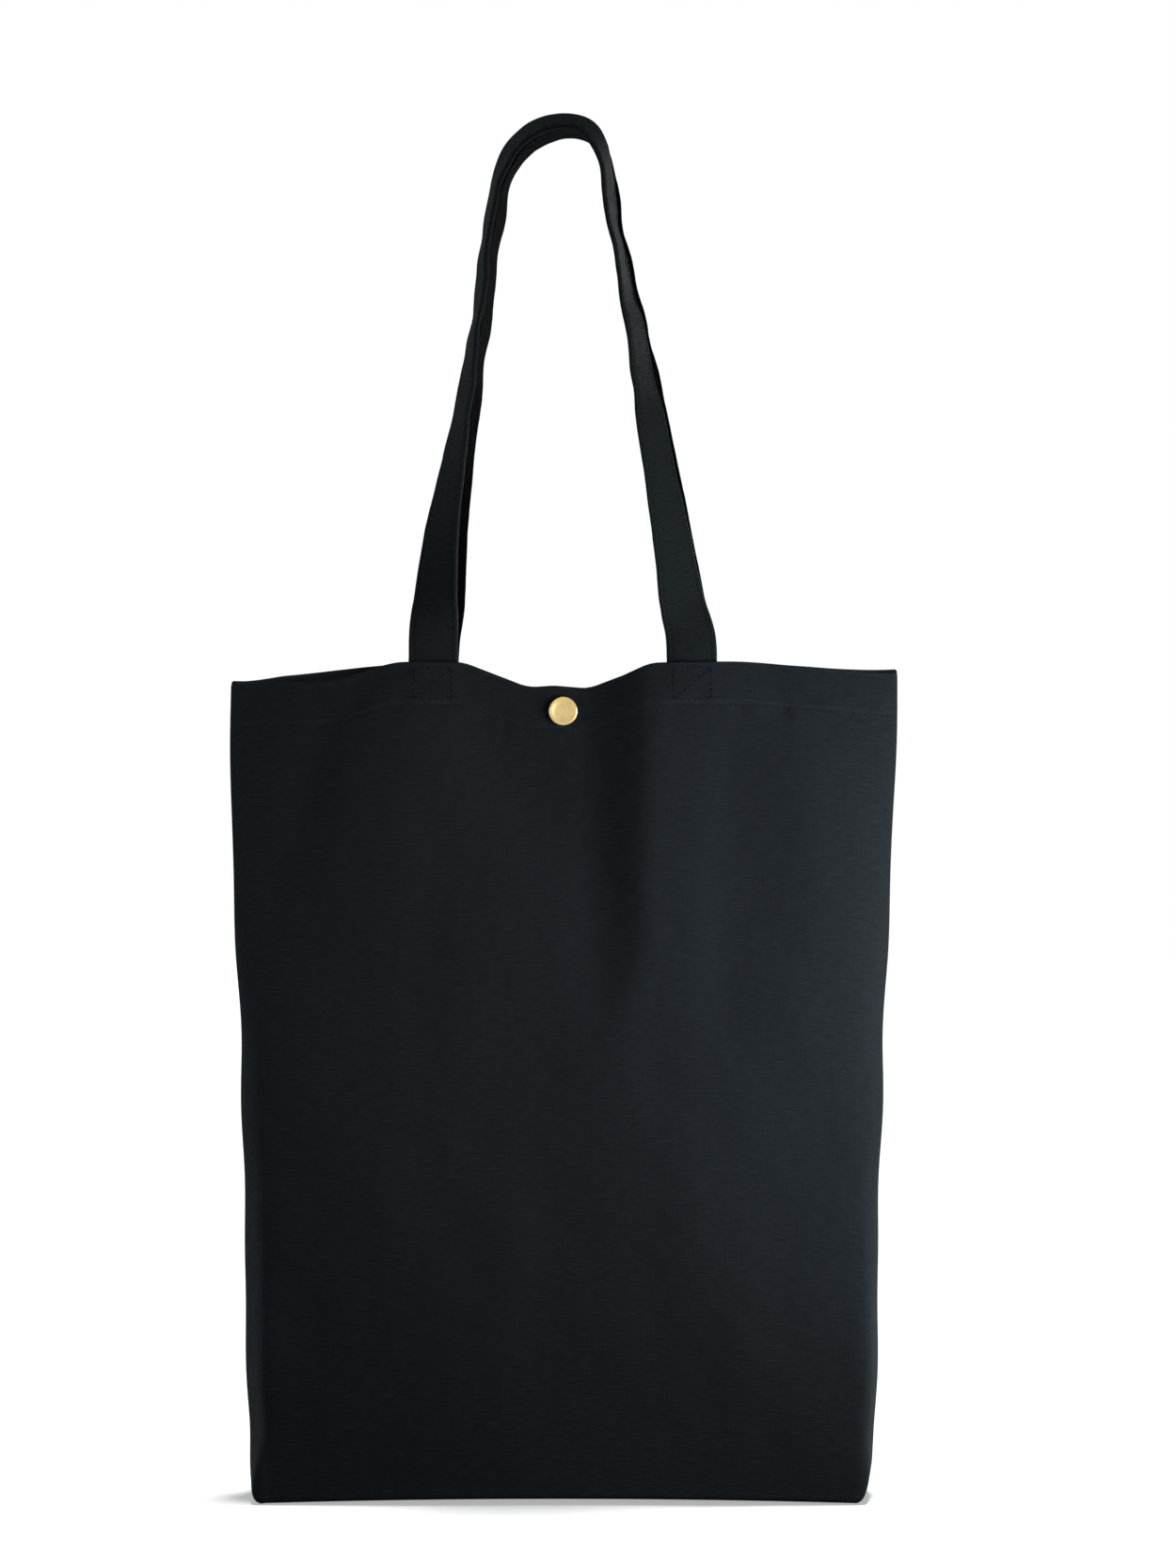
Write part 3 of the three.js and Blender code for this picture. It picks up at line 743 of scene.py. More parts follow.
# The strap's middle line as (x, z, twist): millimetres, and degrees away from facing forwards
STRAP_LINE = [
    (-67.4, 407, 0), (-67.4, 418, 0), (-67.3, 428, 0), (-66.7, 446, 13), (-65.6, 466, 31), (-62.6, 496, 47),
    (-57.6, 525, 60), (-52.8, 553, 69), (-48.4, 580, 76), (-43.3, 615, 79), (-39.8, 645, 80), (-35.4, 670, 78),
    (-28.0, 688.2, 71), (-17.6, 698.9, 66), (-3, 703.9, 65), (10.3, 701.9, 66), (17.9, 692.2, 71), (21.4, 676, 77),
    (24.1, 656, 80), (28.4, 633, 78), (34.9, 602, 72), (38.4, 584, 66), (44.2, 550, 56), (50, 518, 48),
    (55.6, 486, 39), (60.8, 454, 20), (64.0, 438, 6), (65.3, 428, 0), (65.4, 418, 0), (65.4, 407, 0),
]
HEM_STRAP_DEPTH = -middle("front_strap_left_end").y
ARCH_DEPTH = 14.6 * MM
PARTING_LENGTH = 80 * MM
WAVING_LENGTH = 0.69
STRAP_WAVER = 0.28 * MM
TWIST_WAVER = (0.5, 1.2)
LOOSE_RISE = (HINGE_HEIGHT + 4 * MM, HINGE_HEIGHT + 60 * MM)
LIMP_RISE = (530 * MM, 600 * MM)
BACK_SHIFT = 3 * MM
BACK_BULGE = 2 * MM
BACK_LIFT = -0.4 * MM
BACK_LIFT_RISE = (620 * MM, 700 * MM)
BACK_TURN = 20
BACK_TURN_RISE = (660 * MM, 700 * MM)
SEWN_TO_FREE = 34 * MM

# Where the rows of stitches run, how deep they dip the strap and how full it is between them, as
# shares of its half thickness, and how much its edges and thickness vary
EDGE_ROW = 9.9 * MM
ROW_DIP = 0.17
ROW_DIP_WIDTH = 0.75 * MM
STRAP_PUFF = 0.05
EDGE_PULL = 0.003
THICKNESS_WAVER = 0.03
STITCH_SEAT = 0.42
STITCH_SPAN = (0.1, 0.9)
FOLD_FROM = HINGE_HEIGHT - 2 * MM
FOLD_TO = HINGE_HEIGHT + 15 * MM


def smooth_line(points, count):
    """Places at even distances along the centripetal Catmull-Rom curve through points."""
    points = np.asarray(points, float)
    held = np.concatenate([[2 * points[0] - points[1]], points, [2 * points[-1] - points[-2]]])
    knots = np.concatenate([[0], np.cumsum(np.linalg.norm(np.diff(held, axis=0), axis=1) ** 0.5)])
    at = np.linspace(knots[1], knots[-2], 4000)
    k = np.clip(np.searchsorted(knots, at, "right") - 1, 1, len(held) - 3)

    def mix(one, other, low, high):
        share = ((at - knots[low]) / (knots[high] - knots[low]))[:, None]
        return one * (1 - share) + other * share

    a = mix(held[k - 1], held[k], k - 1, k)
    b = mix(held[k], held[k + 1], k, k + 1)
    c = mix(held[k + 1], held[k + 2], k + 1, k + 2)
    dense = mix(mix(a, b, k - 1, k + 1), mix(b, c, k, k + 2), k, k + 1)
    length = np.concatenate([[0], np.cumsum(np.linalg.norm(np.diff(dense[:, :2], axis=0), axis=1))])
    even = np.linspace(0, length[-1], count)
    return np.stack([np.interp(even, length, dense[:, i]) for i in range(dense.shape[1])], -1)


def strap_frame(side, count=1200):
    """A strap's middle line, width direction, facing direction and length along it. Both straps
    stand together at the hems and part towards the arch by an exponential; the strap turns edge
    on by its twist, and a few slow waves in place and twist keep it from lying dead straight."""
    x, z, twist = smooth_line(STRAP_LINE, count).T
    x, z = x * MM, z * MM
    rise = 1 - np.exp(-np.maximum(z - HINGE_HEIGHT, 0) / PARTING_LENGTH)
    loose = smoothstep(z, *LOOSE_RISE)
    along = np.linspace(0, 1, count) * WAVING_LENGTH
    seed = 90 + side
    if side == BACK:
        x = x + BACK_SHIFT * rise + BACK_BULGE * bell(z - 0.47, 0.05) * (x < 0)
        z = z + BACK_LIFT * smoothstep(z, *BACK_LIFT_RISE)
        twist = twist + BACK_TURN * smoothstep(z, *BACK_TURN_RISE)
    limp = smoothstep(z, *LIMP_RISE) * loose
    x = x + STRAP_WAVER * wander(along, 34 * MM, seed) * limp
    waver = TWIST_WAVER[0] * loose + TWIST_WAVER[1] * limp
    twist = np.radians(twist + waver * wander(along, 40 * MM, seed + 8))
    y = side * (HEM_STRAP_DEPTH + (ARCH_DEPTH - HEM_STRAP_DEPTH) * rise)
    line = np.stack([x, y, z], -1)
    tangent = unit(np.gradient(line, axis=0))
    upward = unit(np.stack([-tangent[:, 2], 0 * x, tangent[:, 0]], -1))
    outward = np.array([[0.0, side, 0.0]])
    facing = outward * np.cos(twist)[:, None] + upward * np.sin(twist)[:, None]
    width = unit(np.cross(facing, tangent))
    facing = unit(np.cross(tangent, width))
    length = np.concatenate([[0], np.cumsum(np.linalg.norm(np.diff(line, axis=0), axis=1))])
    return line, width, facing, length


def strap_points(side, place, across, outwards):
    """Points of a strap at distances along it, across its width and out of its face. Sewn in, the
    point lies inside the wall at the strap's depth; a little above the mouth it is on the free
    ribbon; between them the two are mixed by a smooth step in height."""
    line, width, facing, length = strap_frame(side)
    at = [np.interp(place, length, part[:, i]) for part in (line, width, facing) for i in range(3)]
    centre, sideways, out = (np.stack(at[3 * k:3 * k + 3], -1) for k in range(3))
    free = centre + sideways * across[..., None] + out * outwards[..., None]
    strap_x = np.where(centre[..., 0] < 0, STRAP_X["left"], STRAP_X["right"])
    x = strap_x + across * np.sign(sideways[..., 0])
    edge = mouth_height(x, side)
    z = np.minimum(centre[..., 2], edge - 1.5 * MM)
    sewn, _ = wall_frame(side, across_of(x, z), z, STRAP_END_DEPTH - outwards)
    sewn[..., 0] = x
    sewn[..., 2] += centre[..., 2] - z
    share = smoothstep(centre[..., 2] - edge, -1 * MM, SEWN_TO_FREE)[..., None]
    return sewn * (1 - share) + free * share


def strap_profile(width, thickness):
    """(across, outwards) pairs round a strap's section: two flat faces, dipped at both rows of
    stitches by a bell, and half circles for the edges."""
    reach = (width - thickness) / 2
    half = reach * np.array([0, 0.2, 0.4, 0.58, 0.7, 0.77, 0.82, 0.86, 0.89, 0.93, 0.97, 1.0])
    face = np.concatenate([-half[:0:-1], half])
    puff = STRAP_PUFF * (1 - (face / reach) ** 2) - ROW_DIP * bell(np.abs(face) - EDGE_ROW, ROW_DIP_WIDTH)
    height = thickness / 2 * (1 + puff)
    turn = np.linspace(0, math.pi, 8)[1:-1]
    edge = np.stack([reach + thickness / 2 * np.sin(turn), thickness / 2 * np.cos(turn)], -1)
    top = np.stack([face, height], -1)
    return np.concatenate([top, edge, -top, -edge])


def make_strap(side, name, sizes, material):
    """One strap from sewn end to sewn end: the section carried along the middle line, with its
    edges scalloped slightly by the stitches' pull."""
    length = strap_frame(side)[3][-1]
    place = np.linspace(0, length, sizes.stations)[:, None]
    across, outwards = strap_profile(sizes.width, STRAP_THICKNESS).T
    pull = 1 + EDGE_PULL * wander(place, 15 * MM, 101 + side)
    thick = 1 + THICKNESS_WAVER * wander(place, 12 * MM, 111 + side)
    shape = np.broadcast_arrays(place, across[None] * pull, outwards[None] * thick)
    rings = strap_points(side, *shape)
    round_length = np.concatenate([[0], np.cumsum(np.hypot(np.diff(across), np.diff(outwards)))])
    uv = together(round_length[None], place)
    half = sizes.width / 2
    wear = np.broadcast_to(smoothstep(np.abs(across), half - 1.6 * MM, half), rings.shape[:2])
    return swept(name, rings, uv, material, wear)


def make_strap_stitches(side, name, sizes, material):
    """A strap's two rows of stitches, seen on both faces, along its free length."""
    line, _, _, length = strap_frame(side)
    free = length[line[:, 2] > mouth_height(line[:, 0], side) - SEWN_LENGTH + 1 * MM]
    count = round((free[-1] - free[0]) / sizes.stitch)
    step = (free[-1] - free[0]) / count
    start = free[0] + np.arange(count) * step
    rows = []
    for across, face in ((-EDGE_ROW, 1), (-EDGE_ROW, -1), (EDGE_ROW, 1), (EDGE_ROW, -1)):
        u = np.full(count, across)
        v = np.full(count, face * STRAP_THICKNESS * STITCH_SEAT)
        first, last = (strap_points(side, start + step * share, u, v) for share in STITCH_SPAN)
        under = strap_points(side, start + step * STITCH_SPAN[0], u, 0 * v)
        rows.append((first, last, unit(first - under)))
    first, last, normal = (np.concatenate(parts) for parts in zip(*rows))
    return stitches(name, first, last, normal, sizes.thread / 2, material)


def fold_with_strap(piece, wall_body, loop_body):
    """The piece bends between a wall and its strap's loop, just above the mouth."""
    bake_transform(piece, wall_body, loop_body, start=(0, 0, FOLD_FROM), end=(0, 0, FOLD_TO))


# ---- snap fastener
# Sections as (radius, y) in millimetres, from the axis out and back to it
CAP_SECTION = [
    (0, -6.62), (1.5, -6.62), (3.0, -6.66), (4.2, -6.78), (5.0, -6.95), (5.6, -7.14), (6.1, -7.3),
    (6.55, -7.36), (6.9, -7.3), (7.2, -7.08), (7.4, -6.75), (7.5, -6.3), (7.48, -5.8), (7.35, -5.4),
    (7.1, -5.12), (6.7, -5.0), (6.3, -5.02), (5.9, -5.2), (2.7, -5.2), (2.55, -5.0), (2.5, -3.3), (0, -3.3),
]
SOCKET_SECTION = [
    (0, -3.2), (5.2, -3.2), (5.6, -3.1), (5.75, -2.8), (5.72, -2.4), (5.4, -2.1), (5.0, -1.95),
    (4.75, -1.6), (4.65, -0.9), (4.5, -0.55), (4.2, -0.38), (3.95, -0.42), (3.8, -0.7), (3.8, -1.9),
    (3.6, -2.1), (0, -2.15),
]
STUD_SECTION = [
    (0, -1.6), (1.5, -1.58), (2.0, -1.42), (2.3, -1.1), (2.36, -0.7), (2.2, -0.3), (1.95, -0.05),
    (1.9, 0.7), (2.1, 1.0), (2.7, 1.15), (4.3, 1.3), (4.8, 1.5), (5.0, 1.9), (5.0, 2.8), (4.8, 3.15),
    (4.4, 3.2), (0, 3.2),
]
POST_SECTION = [
    (0, 3.3), (1.3, 3.3), (1.35, 4.9), (1.6, 5.0), (4.5, 5.0), (4.9, 5.15), (5.0, 5.45), (4.88, 5.8),
    (4.5, 6.02), (3.9, 6.08), (3.0, 6.04), (1.8, 5.95), (0, 5.92),
]
# ---- finishes

THREAD_PLY = 0.6 * MM


class Nodes:
    """A node tree being wired, with short calls for its nodes."""

    def __init__(self, tree):
        self.tree = tree

    def put(self, socket, value):
        """Links an output to the socket, or sets the socket to a plain value."""
        if isinstance(value, bpy.types.NodeSocket):
            self.tree.links.new(value, socket)
        else:
            socket.default_value = value

    def node(self, kind, inputs=None, output=0, **settings):
        """A new node with its settings and inputs; returns one of its outputs."""
        made = self.tree.nodes.new(kind)
        for key, value in settings.items():
            setattr(made, key, value)
        for key, value in (inputs or {}).items():
            self.put(made.inputs[key], value)
        return made.outputs[output]

    def math(self, operation, one, other=0.0):
        """One sum of two values."""
        return self.node("ShaderNodeMath", {0: one, 1: other}, operation=operation)

    def total(self, *parts):
        """The sum of (value, weight) pairs, each value times its weight."""
        result = 0.0
        for value, weight in parts:
            result = self.math("ADD", result, self.math("MULTIPLY", value, weight))
        return result

    def noise(self, vector, scale, detail=2.0):
        """Noise of about the given number of lumps to each unit of each axis."""
        moved = self.node("ShaderNodeMapping", {"Vector": vector, "Scale": scale})
        return self.node("ShaderNodeTexNoise", {"Vector": moved, "Scale": 1.0, "Detail": detail})

    def mix(self, share, one, other):
        """A colour that runs from one to other as share runs from 0 to 1."""
        return self.node("ShaderNodeMix", {0: share, 6: one, 7: other}, 2, data_type="RGBA")

    def spread(self, value, low, high, to_low, to_high):
        """A value carried from one range to another, held at both ends."""
        inputs = {0: value, 1: low, 2: high, 3: to_low, 4: to_high}
        return self.node("ShaderNodeMapRange", inputs, interpolation_type="SMOOTHSTEP")


class Finish(Nodes):
    """A material being made, with its shader."""

    def __init__(self, name):
        self.material = bpy.data.materials.new(name)
        self.material.use_nodes = True
        super().__init__(self.material.node_tree)

    def shade(self, inputs, height=None, depth=0.0):
        """Puts values on the shader, and a height as a bump of the given depth."""
        shader = self.tree.nodes["Principled BSDF"]
        if height is not None:
            bump = {"Height": height, "Distance": depth, "Strength": 1}
            inputs = {**inputs, "Normal": self.node("ShaderNodeBump", bump)}
        for key, value in inputs.items():
            self.put(shader.inputs[key], value)
        return self.material


def scaled(colour, factor):
    """A colour with its brightness multiplied, as four values."""
    return (*(min(1.0, c * factor) for c in colour), 1.0)


def canvas_finish(name, colour, pitch, sheen):
    """Plain-woven canvas in the cloth's own UV. The weave's height is the root of the product of
    two sines, one per thread pitch each way; slubs are noise drawn out along each thread. The colour
    is painted a little lighter where threads stand proud, a painted highlight on the same noise that
    raises them, with a random speckle mixed in; it is also lighter where the cloth is rubbed."""
    f = Finish(name)
    uv = f.node("ShaderNodeUVMap", uv_map="cloth_uv")
    places = [f.node("ShaderNodeSeparateXYZ", {0: uv}, axis) for axis in "XY"]
    waves = [f.math("SINE", f.math("MULTIPLY", place, math.pi / pitch)) for place in places]
    weave = f.math("POWER", f.math("ABSOLUTE", f.math("MULTIPLY", *waves)), 0.6)
    weft = f.noise(uv, (150, 0.80 / pitch, 1), 3)
    warp = f.noise(uv, (0.85 / pitch, 60, 1), 3)
    fuzz = f.noise(uv, (2600, 2600, 1), 2)
    cloudy = f.noise(uv, (14, 9, 1), 3)
    speckle = f.noise(uv, (1300, 900, 1), 3)
    # painted highlight: the colour is lighter where the weft and warp noise also raise the bump, mixed with a
    # random speckle
    proud_threads_and_speckle = f.total((weft, 0.62), (warp, 0.13), (speckle, 0.25))
    dye_and_thread_highlight = f.mix(f.spread(proud_threads_and_speckle, 0.36, 0.66, 0, 1), scaled(colour, 0.87), scaled(colour, 1.16))
    dye_and_thread_highlight = f.mix(f.spread(cloudy, 0.3, 0.7, 0, 0.35), dye_and_thread_highlight, scaled(colour, 0.8))
    lint = f.spread(f.noise(uv, (900, 420, 1), 4), 0.70, 0.78, 0, 0.30)
    dye_and_thread_highlight = f.mix(lint, dye_and_thread_highlight, scaled(colour, 4.0))
    worn = f.node("ShaderNodeAttribute", output="Fac", attribute_name="wear")
    rubbed = f.math("MULTIPLY", worn, f.spread(speckle, 0.35, 0.65, 0.25, 0.75))
    shading = {
        "Base Color": f.mix(rubbed, dye_and_thread_highlight, scaled(colour, 2.0)),
        "Roughness": f.spread(proud_threads_and_speckle, 0.3, 0.7, 0.94, 0.78),
        "Specular IOR Level": 0.03,
        "Sheen Weight": sheen,
        "Sheen Roughness": 0.45,
        "Sheen Tint": (0.78, 0.88, 1.0, 1.0),
    }
    return f.shade(shading, f.total((weave, 0.40), (weft, 1.25), (warp, 0.40), (fuzz, 0.30)), 0.32 * MM)


def thread_finish(name, colour):
    """Twisted sewing thread: slanting stripes along each stitch, from a sine of both UVs. The stripes are bumps,
    and the colour is painted lighter on their crests and darker in their grooves, as painted highlight and shade.
    """
    f = Finish(name)
    uv = f.node("ShaderNodeUVMap", uv_map="cloth_uv")
    around, along = (f.node("ShaderNodeSeparateXYZ", {0: uv}, axis) for axis in "XY")
    slant = f.total((along, 1.0), (around, 0.6))
    ply = f.math("SINE", f.math("MULTIPLY", slant, 2 * math.pi / THREAD_PLY))
    # painted highlight and shade: the colour follows the same ply sine that sets the bump's height
    shade = f.mix(f.spread(ply, -1, 1, 0, 1), scaled(colour, 0.7), scaled(colour, 1.3))
    shading = {"Base Color": shade, "Roughness": 0.62, "Specular IOR Level": 0.05, "Sheen Weight": 0.05}
    return f.shade(shading, f.math("ADD", ply, f.noise(uv, (4000, 4000, 1))), 0.04 * MM)


def brass_finish(name, colour, roughness):
    """Pressed brass: fine turning rings about the snap's axis, a cloudy tarnish and small nicks."""
    f = Finish(name)
    place = f.node("ShaderNodeTexCoord", output="Object")
    centred = f.node("ShaderNodeMapping", {"Vector": place, "Location": (-SNAP.x, 0, -SNAP.z)})
    wave = {"Vector": centred, "Scale": 900, "Distortion": 1.5, "Detail": 2}
    rings = f.node("ShaderNodeTexWave", wave, "Fac", wave_type="RINGS", rings_direction="Y")
    clouds = f.noise(place, (260, 260, 260), 4)
    nicks = f.spread(f.noise(place, (900, 900, 900), 3), 0.66, 0.74, 0, 1)
    tarnish = f.spread(clouds, 0.40, 0.72, 0, 0.55)
    shading = {
        "Base Color": f.mix(tarnish, scaled(colour, 1), scaled(colour, 0.62)),
        "Metallic": 1.0,
        "Roughness": f.spread(clouds, 0.3, 0.7, roughness - 0.05, roughness + 0.12),
    }
    return f.shade(shading, f.total((rings, 0.35), (nicks, -1.0)), 0.03 * MM)


def finish_named(name):
    """The finish for one of the record's slots, made the first time it is asked for."""
    own_name = "tote_" + name
    made = bpy.data.materials.get(own_name)
    if made:
        return made
    sizes = bpy.context.scene.tote_finish
    if name == "canvas":
        return canvas_finish(own_name, sizes.canvas, sizes.pitch, sizes.sheen)
    if name == "strap_canvas":
        return canvas_finish(own_name, sizes.strap, sizes.pitch * 0.95, sizes.sheen)
    if name == "thread":
        return thread_finish(own_name, sizes.thread)
    return brass_finish(own_name, sizes.brass, sizes.roughness)


def settle(piece, slot, *nodes, body=None):
    """Hides the CAD nodes a piece stands for and hangs it on what it rides on; the slot is not used."""
    if nodes:
        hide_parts(*nodes)
    if body:
        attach(piece, body)
    return piece


# ---- sizes to change

LENGTH = {"subtype": "DISTANCE", "unit": "LENGTH"}
DYE = {"subtype": "COLOR", "size": 3, "min": 0, "max": 1}
SHARE = {"subtype": "FACTOR", "min": 0, "max": 1}


class ToteClothSizes(bpy.types.PropertyGroup):
    """The sewn cloth's sizes."""

    columns: IntProperty(name="Columns", description="Grid columns across a wall", default=174, min=40)
    thickness: FloatProperty(name="Thickness", description="Thickness of the canvas", default=CLOTH, **LENGTH)
    allowance: FloatProperty(name="Allowance", description="Width of a seam allowance", default=11 * MM, **LENGTH)


class ToteThreadSizes(bpy.types.PropertyGroup):
    """The stitching's sizes."""

    stitch: FloatProperty(name="Stitch", description="Length of one stitch", default=3.0 * MM, **LENGTH)
    thread: FloatProperty(name="Thread", description="Diameter of the thread", default=0.5 * MM, **LENGTH)


class ToteStrapSizes(bpy.types.PropertyGroup):
    """The straps' sizes."""

    width: FloatProperty(name="Width", description="Width of a strap", default=25.3 * MM, **LENGTH)
    stations: IntProperty(name="Stations", description="Sections along a strap", default=420, min=60)


class ToteFinish(bpy.types.PropertyGroup):
    """The colours and finishes."""

    canvas: FloatVectorProperty(
        name="Canvas", description="Dye of the canvas", default=(0.0155, 0.0200, 0.0240), **DYE
    )
    strap: FloatVectorProperty(
        name="Strap", description="Dye of the strap canvas", default=(0.0135, 0.0180, 0.0200), **DYE
    )
    thread: FloatVectorProperty(
        name="Thread", description="Dye of the thread", default=(0.0075, 0.0098, 0.0115), **DYE
    )
    brass: FloatVectorProperty(name="Brass", description="Colour of the brass", default=(0.70, 0.52, 0.24), **DYE)
    roughness: FloatProperty(name="Roughness", description="Roughness of the brass", default=0.34, **SHARE)
    pitch: FloatProperty(name="Pitch", description="Spacing of the woven threads", default=0.9 * MM, **LENGTH)
    sheen: FloatProperty(name="Sheen", description="Soft fibre sheen", default=0.03, **SHARE)


class ToteStageSizes(bpy.types.PropertyGroup):
    """The studio."""

    distance: FloatProperty(name="Distance", description="Camera distance from the bag", default=2.0, **LENGTH)
    height: FloatProperty(name="Height", description="Camera height", default=0.3653, **LENGTH)
    aside: FloatProperty(name="Aside", description="Camera's place to the right", default=0.012, **LENGTH)
    lens: FloatProperty(name="Lens", description="Focal length in millimetres", default=89.2, min=10)
    key: FloatProperty(name="Key", description="Watts of the light from the right", default=1.52, min=0)
    side: FloatProperty(name="Side", description="Watts of the light from the left", default=1.0, min=0)
    back: FloatProperty(name="Back", description="Watts of the light from behind", default=5.0, min=0)
    strap: FloatProperty(name="Strap", description="Watts of the back strap's light", default=5.0, min=0)
    mouth: FloatProperty(name="Mouth", description="Watts of the light into the mouth", default=1.2, min=0)
    overhead: FloatProperty(name="Overhead", description="Strength of the light from above", default=2.8, min=0)
    fill: FloatProperty(name="Fill", description="Strength of the light from all round", default=0.084, min=0)


# ---- operators


class TOTE_OT_walls(bpy.types.Operator):
    """Adds the front and back cloths, each with its turned hem"""

    bl_idname = "tote.walls"
    bl_label = "Walls"

    def execute(self, context):
        sizes = context.scene.tote_cloth
        front = make_wall(FRONT, "front_cloth", sizes, finish_named("canvas"))
        settle(front, "canvas", "front_panel", "front_hem_facing")
        follow_front_wall(front)
        back = make_wall(BACK, "back_cloth", sizes, finish_named("canvas"))
        settle(back, "canvas", "back_panel", "back_hem_facing", body="bag")
        return {"FINISHED"}


class TOTE_OT_base(bpy.types.Operator):
    """Adds the base and the allowances of the side, corner and base seams"""

    bl_idname = "tote.base"
    bl_label = "Base and seams"

    def execute(self, context):
        sizes = context.scene.tote_cloth
        canvas = finish_named("canvas")
        settle(make_base(sizes, canvas), "canvas", "base_panel", body="bag")
        settle(make_base_allowance(sizes, canvas), "canvas", "base_seam", body="bag")
        for sign, name in ((-1, "left"), (1, "right")):
            side = make_side_allowance(sign, name, sizes, canvas)
            settle(side, "canvas", name + "_side_seam", body="bag")
            corner = make_corner_allowance(sign, name, sizes, canvas)
            settle(corner, "canvas", name + "_corner_seam", body="bag")
        return {"FINISHED"}


class TOTE_OT_stitching(bpy.types.Operator):
    """Adds the hems' rows and the crossed boxes at the straps' ends"""

    bl_idname = "tote.stitching"
    bl_label = "Stitching"

    def execute(self, context):
        sizes = context.scene.tote_thread
        thread = finish_named("thread")
        for side, name, body in SIDES:
            hem = make_hem_stitches(side, name + "_hem_row", sizes, thread)
            settle(hem, "thread", name + "_hem_stitching", body=None if side == FRONT else body)
            if side == FRONT:
                follow_front_wall(hem)
            for strap in ("left", "right"):
                box = make_box_stitches(side, f"{name}_{strap}_box", strap, sizes, thread)
                settle(box, "thread", f"{name}_box_stitch_{strap}", body=body)
        return {"FINISHED"}


class TOTE_OT_straps(bpy.types.Operator):
    """Adds both straps with their rows of stitches"""

    bl_idname = "tote.straps"
    bl_label = "Straps"

    def execute(self, context):
        sizes = context.scene.tote_strap
        threads = context.scene.tote_thread
        for side, name, body in SIDES:
            strap = make_strap(side, name + "_strap_ribbon", sizes, finish_named("strap_canvas"))
            nodes = [name + end for end in ("_strap", "_strap_left_end", "_strap_right_end")]
            settle(strap, "strap_canvas", *nodes)
            rows = make_strap_stitches(side, name + "_strap_rows", threads, finish_named("thread"))
            settle(rows, "thread")
            for piece in (strap, rows):
                fold_with_strap(piece, body, name + "_strap_loop")
        return {"FINISHED"}


class TOTE_OT_snap(bpy.types.Operator):
    """Adds the snap's cap, socket, stud and post"""

    bl_idname = "tote.snap"
    bl_label = "Snap"

    def execute(self, context):
        brass = finish_named("brass")
        parts = (
            ("snap_cap", CAP_SECTION, "front_wall"),
            ("snap_socket", SOCKET_SECTION, "front_wall"),
            ("snap_stud", STUD_SECTION, "bag"),
            ("snap_stud_post", POST_SECTION, "bag"),
        )
        for node, section, body in parts:
            settle(turned(node + "_turned", section, brass), "brass", node, body=body)
        spring = frame["nodes"]["snap_spring"]
        spring.data.materials.clear()
        spring.data.materials.append(brass)
        return {"FINISHED"}


class TOTE_OT_flat_sizes(bpy.types.Operator):
    """Works out each strap's width and length along its middle, and keeps neither"""

    bl_idname = "tote.flat_sizes"
    bl_label = "Flat sizes"

    def execute(self, context):
        for side, name, _ in SIDES:
            strap = (context.scene.tote_strap.width, float(strap_frame(side)[3][-1]))
        return {"FINISHED"}


class TOTE_OT_stage(bpy.types.Operator):
    """Adds the floor, the lights, the surroundings and the camera"""

    bl_idname = "tote.stage"
    bl_label = "Studio"

    def execute(self, context):
        sizes = context.scene.tote_stage
        floor = make_floor()
        set_surroundings(sizes.fill)
        lamps = {name: add_lamp(name + "_lamp", getattr(sizes, name), **LAMPS[name]) for name in LAMPS}
        back_strap = [bpy.data.objects[name] for name in ("back_strap_ribbon", "back_strap_rows")]
        light_only(lamps["key"], "EXCLUDE", floor, *back_strap)
        light_only(lamps["side"], "EXCLUDE", floor)
        light_only(lamps["back"], "EXCLUDE", floor, *back_strap)
        light_only(lamps["strap"], "INCLUDE", *back_strap)
        light_only(lamps["mouth"], "INCLUDE", bpy.data.objects["back_cloth"])
        light_only(add_overhead(sizes.overhead), "INCLUDE", floor)
        camera = add_object("camera", bpy.data.cameras.new("camera"))
        camera.data.lens = sizes.lens
        camera.location = (sizes.aside, -sizes.distance, sizes.height)
        camera.rotation_euler = (math.pi / 2, 0, 0)
        context.scene.camera = camera
        context.scene.view_settings.view_transform = "Standard"
        context.scene.view_settings.look = "None"
        return {"FINISHED"}


# ---- studio

FLOOR_REACH = 6.0
FLOOR_DROP = 0.3 * MM
FLOOR_BASE = (0.88, 0.88, 0.88, 1)
FLOOR_GLOW = 0.42
WHITE = (1, 1, 1, 1)
SKY_TINT = (0.86, 0.95, 1.0, 1)
SKY_BELOW = 0.25
SKY_RISE = (-0.5, 0.6)
WARM = (1.0, 0.985, 0.96)
COOL = (0.95, 0.98, 1.0)

# The square soft lamps: where they stand and point, their side in metres and spread in degrees
LAMPS = {
    "key": {"place": (0.42, -0.25, 0.285), "aim": (0, 0, 0.29), "size": 0.30, "spread": 118, "colour": WARM},
    "side": {"place": (-0.75, -0.10, 0.36), "aim": (0, 0, 0.32), "size": 0.4, "spread": 120,
             "colour": (0.90, 0.97, 1.0)},
    "back": {"place": (0.50, 1.05, 0.45), "aim": (0, 0, 0.32), "size": 0.4, "spread": 100, "colour": COOL},
    "strap": {"place": (-0.35, 1.05, 0.95), "aim": (0, 0, 0.55), "size": 0.4, "spread": 100, "colour": COOL},
    "mouth": {"place": (0.55, -0.38, 0.84), "aim": (0, 0, 0.50), "size": 0.25, "spread": 90, "colour": WARM},
}
OVERHEAD_FROM = (0.040, 0.038, 1.0)
OVERHEAD_ANGLE = 6


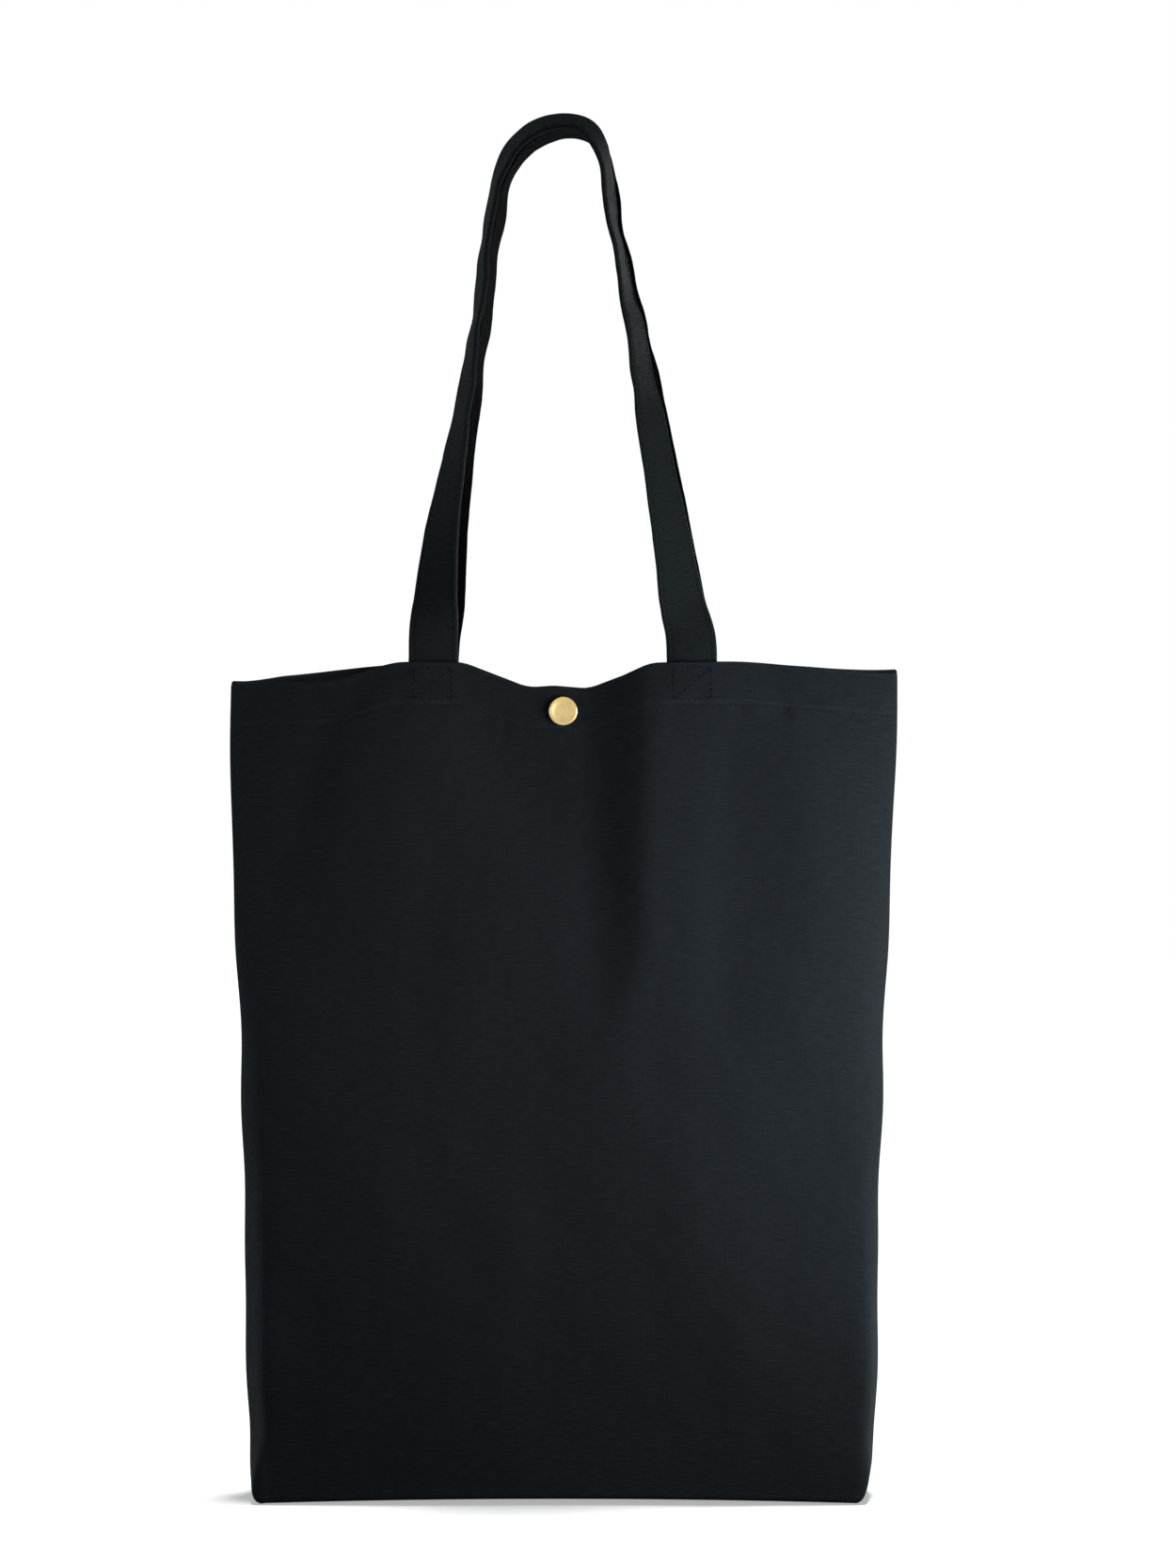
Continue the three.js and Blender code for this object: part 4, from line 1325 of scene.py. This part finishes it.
def make_floor():
    """A pale floor, lit almost to white, that doesn't light the bag from below."""
    corners = np.array([(-1, -1), (1, -1), (1, 1), (-1, 1)]) * FLOOR_REACH
    points = np.column_stack([corners, np.full(4, -FLOOR_DROP)])
    shading = {"Base Color": FLOOR_BASE, "Roughness": 1.0, "Specular IOR Level": 0.0,
               "Emission Color": WHITE, "Emission Strength": FLOOR_GLOW}
    floor = make_piece("floor", points, [[0, 1, 2, 3]], corners, Finish("floor").shade(shading))
    floor.visible_diffuse = False
    floor.visible_glossy = False
    return floor


def set_surroundings(fill):
    """White to the camera and in the brass; as a light, soft, cooler, and weaker from below."""
    world = bpy.data.worlds.new("surroundings")
    world.use_nodes = True
    world.node_tree.nodes.clear()
    sky = Nodes(world.node_tree)
    place = sky.node("ShaderNodeTexCoord", output="Generated")
    height = sky.node("ShaderNodeSeparateXYZ", {0: place}, "Z")
    rise = {0: height, 1: SKY_RISE[0], 2: SKY_RISE[1], 3: SKY_BELOW * fill, 4: fill}
    strength = sky.node("ShaderNodeMapRange", rise)
    light = sky.node("ShaderNodeBackground", {"Color": SKY_TINT, "Strength": strength})
    seen = sky.node("ShaderNodeBackground", {"Color": WHITE})
    rays = [sky.node("ShaderNodeLightPath", output=kind) for kind in ("Is Camera Ray", "Is Glossy Ray")]
    either = sky.node("ShaderNodeMixShader", {0: sky.math("MAXIMUM", *rays), 1: light, 2: seen})
    sky.put(world.node_tree.nodes.new("ShaderNodeOutputWorld").inputs["Surface"], either)
    bpy.context.scene.world = world


def light_only(lamp, state, *pieces):
    """Keeps a lamp to some pieces, or keeps those pieces out of the lamp's light."""
    lit = bpy.data.collections.new(lamp.name + "_lit")
    for piece in pieces:
        lit.objects.link(piece)
    for one in lit.collection_objects:
        one.light_linking.link_state = state
    lamp.light_linking.receiver_collection = lit


def add_overhead(power):
    """A soft lamp almost straight above for the floor alone, where it leaves the bag's short
    shadow to the front and left."""
    lamp = bpy.data.lights.new("overhead", "SUN")
    lamp.energy = power
    lamp.angle = math.radians(OVERHEAD_ANGLE)
    holder = add_object("overhead", lamp)
    holder.rotation_euler = (-Vector(OVERHEAD_FROM)).to_track_quat("-Z", "Y").to_euler()
    return holder


def add_lamp(name, power, place, aim, size, spread, colour):
    """A square soft light turned towards a point, with its beam's spread in degrees."""
    lamp = bpy.data.lights.new(name, "AREA")
    lamp.energy = power
    lamp.size = size
    lamp.color = colour
    lamp.spread = math.radians(spread)
    holder = add_object(name, lamp)
    holder.location = place
    holder.visible_camera = False
    holder.rotation_euler = (Vector(aim) - Vector(place)).to_track_quat("-Z", "Y").to_euler()
    return holder


# ---- panel and running


class TOTE_PT_panel(bpy.types.Panel):
    """The tote bag's builders and sizes"""

    bl_idname = "TOTE_PT_panel"
    bl_label = "Tote Bag"
    bl_space_type = "VIEW_3D"
    bl_region_type = "UI"
    bl_category = "Tote Bag"

    def draw(self, context):
        for operator in OPERATORS:
            self.layout.operator(operator.bl_idname)
        for name in SIZE_GROUPS:
            group = getattr(context.scene, name)
            box = self.layout.box()
            for key in group.__annotations__:
                box.prop(group, key)


SIZE_GROUPS = {
    "tote_cloth": ToteClothSizes,
    "tote_thread": ToteThreadSizes,
    "tote_strap": ToteStrapSizes,
    "tote_finish": ToteFinish,
    "tote_stage": ToteStageSizes,
}
OPERATORS = (
    TOTE_OT_walls,
    TOTE_OT_base,
    TOTE_OT_stitching,
    TOTE_OT_straps,
    TOTE_OT_snap,
    TOTE_OT_flat_sizes,
    TOTE_OT_stage,
)
CLASSES = (*SIZE_GROUPS.values(), *OPERATORS, TOTE_PT_panel)


def register():
    """Registers the classes and puts the sizes on the scene."""
    for one in CLASSES:
        bpy.utils.register_class(one)
    for name, group in SIZE_GROUPS.items():
        setattr(bpy.types.Scene, name, PointerProperty(type=group))


def unregister():
    """Takes the sizes off the scene and removes the classes."""
    for name in SIZE_GROUPS:
        delattr(bpy.types.Scene, name)
    for one in reversed(CLASSES):
        bpy.utils.unregister_class(one)


def main():
    """Builds everything in order."""
    register()
    for operator in OPERATORS:
        getattr(bpy.ops.tote, operator.bl_idname.split(".")[1])()


if __name__ == "__main__":
    main()
